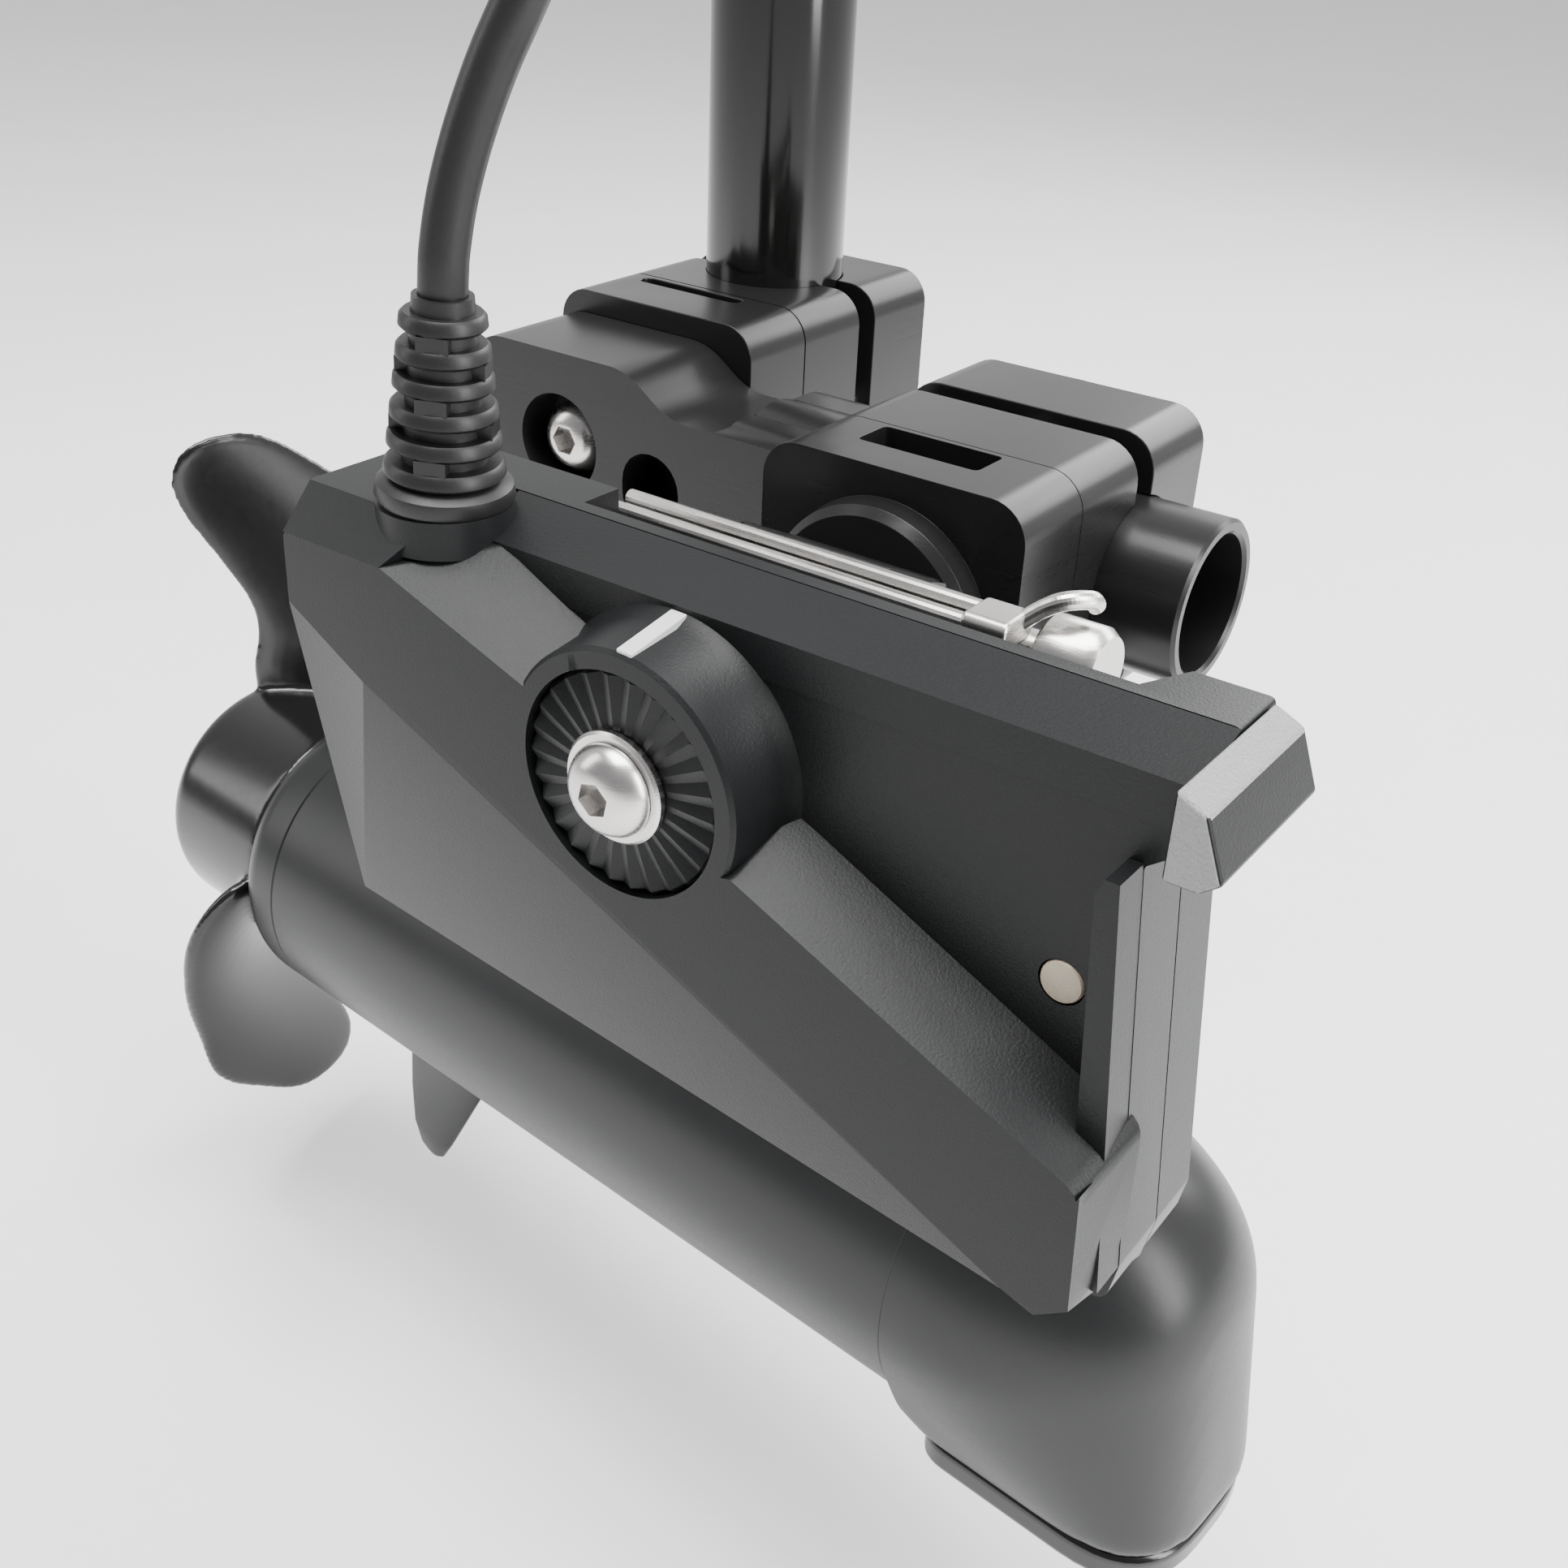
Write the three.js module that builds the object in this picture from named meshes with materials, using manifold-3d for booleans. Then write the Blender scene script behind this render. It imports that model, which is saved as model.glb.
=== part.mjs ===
// Bow-mount trolling motor with a live-sonar head on a two-clamp arm.
// Millimetres. The modelling frame has the shaft on x = y = 0, z = 0 at the top of the shaft clamp,
// +X towards the motor's nose, +Y towards the boat's bracket and +Z up.
// The exported group moves that frame so that the origin is the middle of the bracket's back face.
import * as THREE from "three";
import { ConvexGeometry } from "three/addons/geometries/ConvexGeometry.js";
import { mergeVertices } from "three/addons/utils/BufferGeometryUtils.js";
import Module from "manifold-3d";

const wasm = await Module();
wasm.setup();

// ---------- driving dimensions ----------
const GAP = 0.3; // clearance between pieces that touch
const RUNNING = 0.15; // radial clearance of a shaft in its bore
const ROUND = 20; // sides of a round piece
const POD_ROUND = 26;
const SMALL_ROUND = 12;
const SCREW_ROUND = 8;

const SHAFT_R = 14.3;
const SHAFT_BORE_R = 11;
const SHAFT_TOP = 594;
const SHAFT_LENGTH = 762;
const SHAFT_FOOT = SHAFT_TOP - SHAFT_LENGTH;
const POWER_LEAD_R = 5;

const POD_R = 46;
const POD_BORE_R = 42;
const POD_AXIS_Z = -214.4;
const POD_YAW = THREE.MathUtils.degToRad(-4.9);
const POD_REAR = -150;
const POD_FRONT = 83;
const BELL_REAR = -168;
const NOSE_TIP = 147;
const NOSE_SEAM_Z = -262;
const NECK = { r: 23, height: 26 };

const MOTOR_SHAFT_R = 5;
const HUB_R = 39;
const HUB_FRONT = -170;
const HUB_REAR = -218;
const BLADE_ROOT_X = -212;
const BLADE_PITCH = 0.45;
const MOTOR_SHAFT_END = HUB_REAR - 12;
const DRIVE_PIN_X = HUB_FRONT - 3;

const CLAMP_W = 48;
const CLAMP_FRONT = -39.5;
const CLAMP_SEAM = -21.5;
const CLAMP_SPLIT = [-2.8, 3];
const CLAMP_BACK = 22.5;
const CLAMP_ROUND = 5.5;
const CLAMP_SCREW_X = 18.8;

const TUBE = { y: -46.9, z: -23.5, bore: 11.8, ends: [35.5, 125] };
const TUBE_CLAMP_X = 86;
const TONGUE_HALF = 13;

const ARM = { front: -64, low: -46, top: -4.4, left: -24, right: 57 };
const KNUCKLE = { left: 35, back: -28, top: -10.5 };
const ARM_PIVOT = { x: -3, z: -22 };

const TILT = { x: 88, z: -25 };
const HEAD = {
  left: 22.2,
  right: 161.5,
  low: -74,
  top: 0,
  front: -152,
  face: -140,
  seam: -129,
  back: -119,
};
const HEAD_WALL = 3;
const BOSS_R = 19.4;
const SENSOR = [149, -35];
const BOOT = { x: 45.5, y: -139.5, height: 29, lean: 3.5 };

const PIN = { y: -106, z: -10.9, r: 3, head: [125, 134] };
const BAIL = { wire: 1.3, near: -115.3, far: -111, z: -5.2, left: 54, right: 118 };

const LEAD_R = 3.5;
const GLAND = { z: 262, height: 34, leadY: -24.5 };

const HOUSING = { bottom: 330, top: 430, half: 45, front: -42, back: 48, wall: 4 };
const BUSH_SEAT_R = 18.3;
const CABLE_PORTS = { left: -26, right: 26 };
const BRACKET = { thick: 12, halfX: 60, halfZ: 65, holeInset: 13, holeR: 4.25 };
const BRACKET_Z = (HOUSING.bottom + HOUSING.top) / 2;
const BRACKET_FACE = HOUSING.back + GAP + BRACKET.thick;
const COLLAR = { foot: HOUSING.top + 3 + GAP, height: 22 };
const TOP_HEAD = { foot: 556, seam: 20, x: [-62, 98], half: 48, corner: 26 };

// ---------- solids ----------
function solid(geometry) {
  const bare = new THREE.BufferGeometry();
  const source = geometry.index ? geometry.toNonIndexed() : geometry;
  bare.setAttribute("position", source.getAttribute("position"));
  const merged = mergeVertices(bare, 1e-4);
  const mesh = new wasm.Mesh({
    numProp: 3,
    vertProperties: merged.attributes.position.array,
    triVerts: new Uint32Array(merged.index.array),
  });
  return new wasm.Manifold(mesh);
}

const join = (...solids) => solids.reduce((a, b) => a.add(b));
const cut = (body, ...tools) => tools.reduce((a, b) => a.subtract(b), body);

// Turns a shape drawn in (u, v) and swept along w so that w lies along the named axis.
const BASES = {
  x: new THREE.Matrix4().set(0, 0, 1, 0, 1, 0, 0, 0, 0, 1, 0, 0, 0, 0, 0, 1),
  y: new THREE.Matrix4().set(1, 0, 0, 0, 0, 0, -1, 0, 0, 1, 0, 0, 0, 0, 0, 1),
  z: new THREE.Matrix4(),
};

// Prism of an outline: (y, z) along x, (x, z) along y or (x, y) along z.
function prism(axis, shape, from, to, curveSegments = 6) {
  const geometry = new THREE.ExtrudeGeometry(shape, {
    depth: to - from,
    bevelEnabled: false,
    curveSegments,
  });
  geometry.translate(0, 0, axis === "y" ? -to : from);
  return solid(geometry.applyMatrix4(BASES[axis]));
}

const polygon = (points) => new THREE.Shape(points.map(([u, v]) => new THREE.Vector2(u, v)));

function box(x0, x1, y0, y1, z0, z1) {
  const geometry = new THREE.BoxGeometry(x1 - x0, y1 - y0, z1 - z0);
  return solid(geometry.translate((x0 + x1) / 2, (y0 + y1) / 2, (z0 + z1) / 2));
}

function roundedRect(u0, u1, v0, v1, r) {
  const shape = new THREE.Shape();
  shape.moveTo(u0 + r, v0);
  shape.absarc(u1 - r, v0 + r, r, -Math.PI / 2, 0);
  shape.absarc(u1 - r, v1 - r, r, 0, Math.PI / 2);
  shape.absarc(u0 + r, v1 - r, r, Math.PI / 2, Math.PI);
  shape.absarc(u0 + r, v0 + r, r, Math.PI, 1.5 * Math.PI);
  return shape;
}

function disc(u, v, r) {
  return new THREE.Shape().absarc(u, v, r, 0, 2 * Math.PI);
}

// Round bar along an axis; (u, v) are its place in the two other axes, as in prism().
const rod = (axis, u, v, r, from, to, sides = ROUND) => prism(axis, disc(u, v, r), from, to, sides / 2);

// Tool for a round hole whose flats still clear the radius.
const hole = (axis, u, v, r, from, to, sides = ROUND) =>
  rod(axis, u, v, r / Math.cos(Math.PI / sides), from, to, sides);

// Solid of revolution about an axis from [radius, station] pairs that start and end on the axis.
function turned(axis, profile, segments = ROUND, u = 0, v = 0) {
  const made = revolve(axis, profile, segments, u, v);
  return made.volume() < 0 ? revolve(axis, [...profile].reverse(), segments, u, v) : made;
}

function revolve(axis, profile, segments, u, v) {
  const points = profile.map(([r, s]) => new THREE.Vector2(r, s));
  const geometry = new THREE.LatheGeometry(points, segments);
  if (axis === "x") {
    geometry.rotateZ(-Math.PI / 2).translate(0, u, v);
  } else if (axis === "z") {
    geometry.rotateX(Math.PI / 2).translate(u, v, 0);
  } else {
    geometry.translate(u, 0, v);
  }
  return solid(geometry);
}

function ring(axis, inner, outer, from, to, segments = ROUND, u = 0, v = 0) {
  const clear = inner / Math.cos(Math.PI / segments);
  return cut(
    turned(axis, [[0, from], [outer, from], [outer, to], [0, to]], segments, u, v),
    turned(axis, [[0, from - 1], [clear, from - 1], [clear, to + 1], [0, to + 1]], segments, u, v),
  );
}

// Solid through a row of closed sections, [x, y, z] points, with as many points in each.
function loft(sections) {
  const n = sections[0].length;
  const last = (sections.length - 1) * n;
  const index = [];
  for (let start = 0; start < last; start += n) {
    for (let i = 0; i < n; i += 1) {
      const a = start + i;
      const b = start + ((i + 1) % n);
      index.push(a, b, a + n, b, b + n, a + n);
    }
  }
  for (let i = 1; i + 1 < n; i += 1) {
    index.push(0, i + 1, i, last, last + i, last + i + 1);
  }
  const made = (order) => {
    const geometry = new THREE.BufferGeometry();
    geometry.setAttribute("position", new THREE.Float32BufferAttribute(sections.flat(2), 3));
    return solid(geometry.setIndex(order));
  };
  const outward = made(index);
  return outward.volume() < 0 ? made([...index].reverse()) : outward;
}

// Tube or wire of round section along a smooth curve through the points.
function cord(points, r, steps, sides = 8) {
  const path = new THREE.CatmullRomCurve3(points.map((p) => new THREE.Vector3(...p)));
  const section = [];
  for (let i = 0; i < sides; i += 1) {
    const a = (2 * Math.PI * i) / sides;
    section.push([r * Math.cos(a), r * Math.sin(a)]);
  }
  return solid(new THREE.ExtrudeGeometry(polygon(section), { steps, extrudePath: path }));
}

// ---------- materials ----------
const finish = (color, roughness, metalness) => ({ color, roughness, metalness });
const FINISHES = {
  anodised: finish(0x17181b, 0.38, 0.9),
  composite: finish(0x0d0e10, 0.18, 0.1),
  painted: finish(0x2b2c30, 0.5, 0.4),
  plastic: finish(0x1b1c1f, 0.62, 0),
  gloss: finish(0x0b0b0d, 0.2, 0),
  rubber: finish(0x1d1e20, 0.7, 0),
  steel: finish(0xb9b6ae, 0.28, 1),
  bronze: finish(0x9a7b45, 0.35, 1),
  copper: finish(0x8c4a28, 0.45, 0.9),
  magnet: finish(0x3a3a3e, 0.6, 0.4),
  tan: finish(0xb3a488, 0.6, 0),
  smoked: finish(0x222327, 0.15, 0),
  ceramic: finish(0xd8d5c8, 0.5, 0),
};

const everything = new THREE.Group();
const pod = new THREE.Group();
pod.rotation.z = POD_YAW;
everything.add(pod);

function node(name, shape, finishName, parent = everything) {
  const made = shape.getMesh();
  const geometry = new THREE.BufferGeometry();
  geometry.setAttribute("position", new THREE.BufferAttribute(made.vertProperties, 3));
  geometry.setIndex(new THREE.BufferAttribute(made.triVerts, 1));
  const faceted = geometry.toNonIndexed();
  faceted.computeVertexNormals();
  const mesh = new THREE.Mesh(faceted, new THREE.MeshStandardMaterial(FINISHES[finishName]));
  mesh.name = name;
  parent.add(mesh);
}

// ---------- shaft, gland and leads ----------
function makeShaft() {
  const leadWay = hole("y", 0, GLAND.z + 18, 5, -SHAFT_R - 5, 0, SMALL_ROUND);
  node("shaft", cut(ring("z", SHAFT_BORE_R, SHAFT_R, SHAFT_FOOT, SHAFT_TOP), leadWay), "composite");
  const leadFoot = POD_AXIS_Z + 44;
  const leadTop = TOP_HEAD.foot + 30;
  node("power_lead", rod("z", 0, 0, POWER_LEAD_R, leadFoot, leadTop, SCREW_ROUND), "rubber");

  const top = GLAND.z + GLAND.height;
  const saddle = ring("z", SHAFT_R + GAP, 20, GLAND.z, top, 24);
  const boss = prism("z", roundedRect(-9, 9, -33, -15, 4), GLAND.z, top, 3);
  const socket = hole("z", 0, GLAND.leadY, LEAD_R + GAP, GLAND.z - 1, GLAND.z + 12, SCREW_ROUND);
  const shaftRoom = hole("z", 0, 0, SHAFT_R + GAP, GLAND.z - 1, top + 1, 16);
  node("lead_gland", cut(join(saddle, boss), socket, shaftRoom), "rubber");
}

// Route of the sonar lead, from the strain relief up to the gland on the shaft.
const LEAD_ROUTE = [
  [47.2, -139.3, 31],
  [47.6, -138.8, 36.5],
  [48.4, -137.6, 43],
  [50, -135.8, 50.5],
  [52.4, -133.6, 58.5],
  [55.4, -131, 66.5],
  [60.4, -124.5, 83],
  [61.5, -114, 102],
  [56.5, -101, 122],
  [47.5, -86, 143],
  [36, -69, 165],
  [24, -52.5, 187],
  [13, -38.5, 209],
  [5, -29, 231],
  [0.8, -25.2, 250],
  [0, GLAND.leadY, 268],
];
const LEAD_STRETCHES = { sonar_lead_lower: [0, 7], sonar_lead_middle: [7, 10], sonar_lead_upper: [10, 15] };

function makeLeads() {
  const route = new THREE.CatmullRomCurve3(LEAD_ROUTE.map((p) => new THREE.Vector3(...p)));
  const last = LEAD_ROUTE.length - 1;
  const samples = 8;
  const clear = 0.003; // share of the route left open between two stretches
  for (const [name, [first, end]] of Object.entries(LEAD_STRETCHES)) {
    const from = first / last + (first === 0 ? 0 : clear);
    const to = end / last;
    const points = [];
    for (let k = 0; k <= samples; k += 1) {
      points.push(route.getPoint(from + ((to - from) * k) / samples).toArray());
    }
    node(name, cord(points, LEAD_R, 10), "rubber");
  }
}

// ---------- motor pod (in the pod's own turned group, along x) ----------
const podTurned = (profile, sides = POD_ROUND) => turned("x", profile, sides, 0, POD_AXIS_Z);
const podBar = (r, from, to, sides = ROUND) => podTurned([[0, from], [r, from], [r, to], [0, to]], sides);
function podRing(inner, outer, from, to, sides = POD_ROUND) {
  return ring("x", inner, outer, from, to, sides, 0, POD_AXIS_Z);
}

function makePodHousing() {
  const top = POD_AXIS_Z + POD_R;
  const neck = rod("z", 0, 0, NECK.r, top - 8, top + NECK.height, 18);
  const outer = join(podBar(POD_R, POD_REAR, POD_FRONT, POD_ROUND), neck, makeSkeg());
  const inner = podBar(POD_BORE_R, POD_REAR - 1, POD_FRONT + 1, POD_ROUND);
  const socket = hole("z", 0, 0, SHAFT_R + GAP, SHAFT_FOOT - GAP, top + NECK.height + 1, 16);
  const wireWay = hole("z", 0, 0, POWER_LEAD_R + 3, POD_AXIS_Z, SHAFT_FOOT, SMALL_ROUND);
  node("pod_housing", cut(outer, inner, socket, wireWay), "painted", pod);
}

// Flat fin under the rear of the pod.
function makeSkeg() {
  const top = POD_AXIS_Z - POD_R + 3;
  const outline = [[-148, top], [-151, -327], [-146, -332], [-134, -332], [-122, -306], [-104, top]];
  return prism("y", polygon(outline), -3.5, 3.5);
}

// Domed nose drawn down to the round-cornered seat of the sonar window under it.
function makeNose() {
  const foot = POD_FRONT + GAP;
  const length = NOSE_TIP - foot;
  const steps = 6;
  const skin = noseBlockOutline(0).getPoints(3).map((p) => new THREE.Vector3(p.x, p.y, NOSE_SEAM_Z));
  for (let i = 0; i < steps; i += 1) {
    const a = (Math.PI / 2) * (i / steps);
    const x = foot + length * Math.sin(a) ** 0.92;
    const r = POD_R * Math.cos(a) ** 0.8;
    for (let k = 0; k < POD_ROUND; k += 1) {
      const turn = (2 * Math.PI * k) / POD_ROUND;
      skin.push(new THREE.Vector3(x, r * Math.sin(turn), POD_AXIS_Z + r * Math.cos(turn)));
    }
  }
  skin.push(new THREE.Vector3(NOSE_TIP, 0, POD_AXIS_Z));
  const shell = solid(new ConvexGeometry(skin));
  const spigot = podRing(POD_BORE_R - 6, POD_BORE_R - GAP, POD_FRONT - 8, foot + 1);
  const bearingSeat = podBar(10, POD_FRONT - 9, POD_FRONT + 14, 24);
  node("nose_cone", join(cut(shell, bearingSeat), spigot), "painted", pod);
  const window = prism("z", noseBlockOutline(1.5), NOSE_SEAM_Z - 9, NOSE_SEAM_Z - GAP, 3);
  node("nose_sonar_window", window, "smoked", pod);
}

function noseBlockOutline(inset) {
  const [back, front, side] = [84 + inset, 153 - inset, 30 - inset];
  const [tight, wide] = [9, 24];
  const shape = new THREE.Shape();
  shape.moveTo(back + tight, -side);
  shape.absarc(front - wide, -side + wide, wide, -Math.PI / 2, 0);
  shape.absarc(front - wide, side - wide, wide, 0, Math.PI / 2);
  shape.absarc(back + tight, side - tight, tight, Math.PI / 2, Math.PI);
  shape.absarc(back + tight, -side + tight, tight, Math.PI, 1.5 * Math.PI);
  return shape;
}

function makeEndBell() {
  const rear = BELL_REAR;
  const foot = POD_REAR - GAP;
  const profile = [
    [0, foot], [POD_R, foot], [POD_R - 0.5, foot - 8], [POD_R - 3, rear + 3], [POD_R - 7, rear], [0, rear],
  ];
  const spigot = podRing(30, POD_BORE_R - GAP, foot - 1, POD_REAR + 8);
  const bore = podBar(MOTOR_SHAFT_R + 0.5, rear - 1, POD_REAR + 10);
  const sealSeat = podBar(11, rear - 1, rear + 7, 24);
  const bearingSeat = podBar(13, rear + 10, POD_REAR + 10, 24);
  node("end_bell", cut(join(podTurned(profile), spigot), bore, sealSeat, bearingSeat), "painted", pod);
  const r = MOTOR_SHAFT_R + RUNNING;
  node("shaft_seal", podRing(r, 10.8, rear + 0.4, rear + 6.7, 24), "rubber", pod);
  node("rear_bearing", podRing(r, 12.8, rear + 10.3, rear + 17.6, 24), "steel", pod);
  node("front_bearing", podRing(r, 9.8, POD_FRONT + 4, POD_FRONT + 12, 24), "steel", pod);
}

function makeMotor() {
  const [rear, front] = [-95, 5];
  const magnets = podRing(36.5, POD_BORE_R - GAP, rear, front);
  const split = 9;
  const reach = POD_R + 4;
  const half = (z0, z1) => box(rear - 1, front + 1, -reach, reach, POD_AXIS_Z + z0, POD_AXIS_Z + z1);
  node("magnet_upper", magnets.intersect(half(split, reach)), "magnet", pod);
  node("magnet_lower", magnets.intersect(half(-reach, -split)), "magnet", pod);
  const bore = MOTOR_SHAFT_R + 0.05;
  const core = podRing(bore, 35.2, rear + 7, front - 7, ROUND);
  const winding = podRing(bore, 27, rear - 9, front + 7, ROUND);
  const commutator = podRing(bore, 15, front + 7, front + 29, ROUND);
  node("armature", join(core, winding, commutator), "copper", pod);
  const shaft = podBar(MOTOR_SHAFT_R, MOTOR_SHAFT_END, POD_FRONT + 12);
  const pinWay = hole("z", DRIVE_PIN_X, 0, 2.15, POD_AXIS_Z - 20, POD_AXIS_Z + 20, SCREW_ROUND);
  node("motor_shaft", cut(shaft, pinWay), "steel", pod);
}

// ---------- propeller ----------
// The blades lie on one screw surface: each degree round the shaft is BLADE_PITCH further forward.
// A section runs from the angle of its tail to the angle of its lead.
const BLADE_SECTIONS = [
  { r: 34, tail: -4, lead: 90, thick: 8 },
  { r: 46, tail: -4, lead: 90, thick: 7.5 },
  { r: 59, tail: -1, lead: 76, thick: 7 },
  { r: 70, tail: -2, lead: 56, thick: 6.4 },
  { r: 84, tail: -6, lead: 38, thick: 5.6 },
  { r: 101, tail: -10, lead: 26, thick: 4.4 },
  { r: 113, tail: -11, lead: 13, thick: 3.6 },
  { r: 121, tail: -9, lead: 6, thick: 3 },
  { r: 126, tail: -5, lead: 0, thick: 2.4 },
];
const BLADE_STEPS = 5;

function bladeSection({ r, tail, lead, thick }) {
  const slope = Math.atan2(BLADE_PITCH, THREE.MathUtils.degToRad(1) * r);
  const section = [];
  for (let i = 0; i < 2 * BLADE_STEPS; i += 1) {
    const turn = (Math.PI * i) / BLADE_STEPS;
    const angle = (tail + lead) / 2 - ((lead - tail) / 2) * Math.cos(turn);
    const proud = (thick / 2) * Math.sin(turn);
    const along = BLADE_ROOT_X + BLADE_PITCH * angle + proud * Math.cos(slope);
    const around = THREE.MathUtils.degToRad(angle) - (proud * Math.sin(slope)) / r;
    section.push([along, r * Math.sin(around), r * Math.cos(around)]);
  }
  return section;
}

function makePropeller() {
  const [front, rear] = [HUB_FRONT, HUB_REAR];
  const hub = [[0, front], [HUB_R, front], [HUB_R, rear + 12], [HUB_R - 5, rear], [0, rear]];
  let propeller = podTurned(hub);
  for (const turn of [0, 180]) {
    const blade = loft(BLADE_SECTIONS.map(bladeSection));
    propeller = join(propeller, blade.rotate([turn, 0, 0]).translate([0, 0, POD_AXIS_Z]));
  }
  const bore = podBar(MOTOR_SHAFT_R + GAP, rear - 20, front + 10);
  const nutSeat = podBar(12, rear - 1, rear + 8, 24);
  const pinSlot = box(DRIVE_PIN_X - 3, front + 1, -3, 3, POD_AXIS_Z - 14, POD_AXIS_Z + 14);
  node("propeller", cut(propeller, bore, nutSeat, pinSlot), "gloss", pod);
  const pin = rod("z", DRIVE_PIN_X, 0, 2, POD_AXIS_Z - 12, POD_AXIS_Z + 12, SCREW_ROUND);
  node("drive_pin", pin, "steel", pod);
  const [seat, tip] = [rear + 7.7, rear - 17];
  const nut = podTurned([[0, seat], [9.5, seat], [9.5, tip + 11], [8.5, tip + 4], [4, tip], [0, tip]], 6);
  const thread = podBar(MOTOR_SHAFT_R + 0.1, MOTOR_SHAFT_END - 0.5, front);
  node("prop_nut", cut(nut, thread), "steel", pod);
}

// ---------- split clamps ----------
// A clamp is drawn with its bore along z through x = y = 0; place() puts it on the shaft or the tube.
function makeClamp(prefix, place, finishPlate) {
  const half = CLAMP_W / 2;
  const outline = roundedRect(-half, half, -CLAMP_W, 0, CLAMP_ROUND);
  const bore = hole("z", 0, 0, SHAFT_R + RUNNING, -CLAMP_W - 1, 1, 16);
  const [split, cap] = CLAMP_SPLIT;
  const wellFloor = CLAMP_BACK - 5.7;
  const screws = [-CLAMP_SCREW_X, CLAMP_SCREW_X];
  const ways = (r, from, to) => screws.map((x) => hole("y", x, -half, r, from, to, SCREW_ROUND));
  const slab = (from, to) => prism("y", outline, from, to, 3);
  node(`${prefix}_plate`, place(finishPlate(slab(CLAMP_FRONT, CLAMP_SEAM - GAP))), "anodised");
  const body = cut(slab(CLAMP_SEAM, split), bore, ...ways(2.2, split - 9, split + 1));
  node(`${prefix}_body`, place(body), "anodised");
  const wells = ways(4.8, wellFloor - GAP, CLAMP_BACK + 1);
  const back = cut(slab(cap, CLAMP_BACK), bore, ...ways(2.8, cap - 1, CLAMP_BACK), ...wells);
  node(`${prefix}_cap`, place(back), "anodised");
  screws.forEach((x, i) => {
    const shank = rod("y", x, -half, 2, split - 8, wellFloor, SCREW_ROUND);
    const head = rod("y", x, -half, 4.4, wellFloor, CLAMP_BACK - 0.7, SCREW_ROUND);
    node(`${prefix}_screw_${i + 1}`, place(join(shank, head)), "steel");
  });
}

// The shaft clamp's plate has a slot in its top and the threaded seat of the arm's pivot bolt.
function shaftPlate(plate) {
  const slot = box(-14, 11, -26, -23, -3, 1);
  const seat = hole("y", ARM_PIVOT.x, ARM_PIVOT.z, 4.2, CLAMP_FRONT - 1, CLAMP_FRONT + 13, SCREW_ROUND);
  return cut(plate, slot, seat);
}

// The tube clamp's plate has a notch in its upper face, and a disc and a tongue for the lock pin.
function tubePlate(plate) {
  const half = CLAMP_W / 2;
  const notch = box(-half - 1, -half + 7, CLAMP_SEAM - 9.5, CLAMP_SEAM - 1.2, -36, -14);
  return join(cut(plate, notch), placeOffTube(makeTongue()));
}

// The tube clamp is turned a quarter turn about y, with its bore on the tube.
function placeOnTube(shape) {
  return shape.rotate([0, 90, 0]).translate([TUBE_CLAMP_X + CLAMP_W / 2, TUBE.y, TUBE.z]);
}

function placeOffTube(shape) {
  return shape.translate([-TUBE_CLAMP_X - CLAMP_W / 2, -TUBE.y, -TUBE.z]).rotate([0, -90, 0]);
}

// ---------- arm and tube ----------
function makeArm() {
  const { front, low, top, left, right } = ARM;
  const back = CLAMP_FRONT - GAP;
  const dip = KNUCKLE.top - 1;
  const face = new THREE.Shape();
  face.moveTo(left, low + 8);
  face.lineTo(left + 8, low);
  face.lineTo(right, low);
  face.lineTo(right, dip);
  face.lineTo(34, dip);
  face.quadraticCurveTo(24, dip - 2, 18, -8);
  face.quadraticCurveTo(13, top, 8, top);
  face.lineTo(left + 7, top);
  face.quadraticCurveTo(left, top, left, top - 7.6);
  const slab = prism("y", face, front, back, 4);
  const knuckleEnd = roundedRect(front, KNUCKLE.back, low, KNUCKLE.top, 7);
  const knuckle = prism("x", knuckleEnd, KNUCKLE.left, right, 3);
  const { x, z } = ARM_PIVOT;
  const arm = cut(
    join(slab, knuckle),
    hole("x", TUBE.y, TUBE.z, SHAFT_R + 0.05, TUBE.ends[0] - GAP, right + 1, 16),
    hole("y", x, z, 9.5, front - 1, front + 9, SMALL_ROUND),
    hole("y", x, z, 4.3, front, back + 1, SCREW_ROUND),
    hole("y", 19.5, -26, 8, front - 1, front + 10, SMALL_ROUND),
  );
  node("sonar_arm", arm, "anodised");
  node("cross_tube", ring("x", TUBE.bore, SHAFT_R, ...TUBE.ends, ROUND, TUBE.y, TUBE.z), "anodised");
  const tip = front + 1.5;
  const button = [[0, tip], [4, tip + 0.5], [6.5, tip + 3], [7, tip + 7.2], [0, tip + 7.2]];
  const shank = rod("y", x, z, 4, tip + 6, CLAMP_FRONT + 12, SCREW_ROUND);
  node("arm_pivot_bolt", join(turned("y", button, 18, x, z), shank), "steel");
}

const pinWay = () => hole("x", PIN.y, PIN.z, PIN.r + GAP, BAIL.left - 10, PIN.head[1], SCREW_ROUND);

// Disc and tongue in front of the tube clamp's plate.
function makeTongue() {
  const front = TUBE.y + CLAMP_FRONT;
  const dish = rod("y", TUBE_CLAMP_X, TUBE.z, 19, front - 5, front + 1, 16);
  const outline = [
    [front + 1, -17], [front + 1, -33], [PIN.y, -27], [PIN.y - 5, -16], [PIN.y - 5.3, PIN.z],
    [PIN.y - 3.5, -7], [PIN.y, -5.6], [PIN.y + 3.5, -7], [front + 1, -15],
  ];
  const tongue = prism("x", polygon(outline), TUBE_CLAMP_X - TONGUE_HALF, TUBE_CLAMP_X + TONGUE_HALF);
  return cut(join(dish, tongue), pinWay());
}

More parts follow.
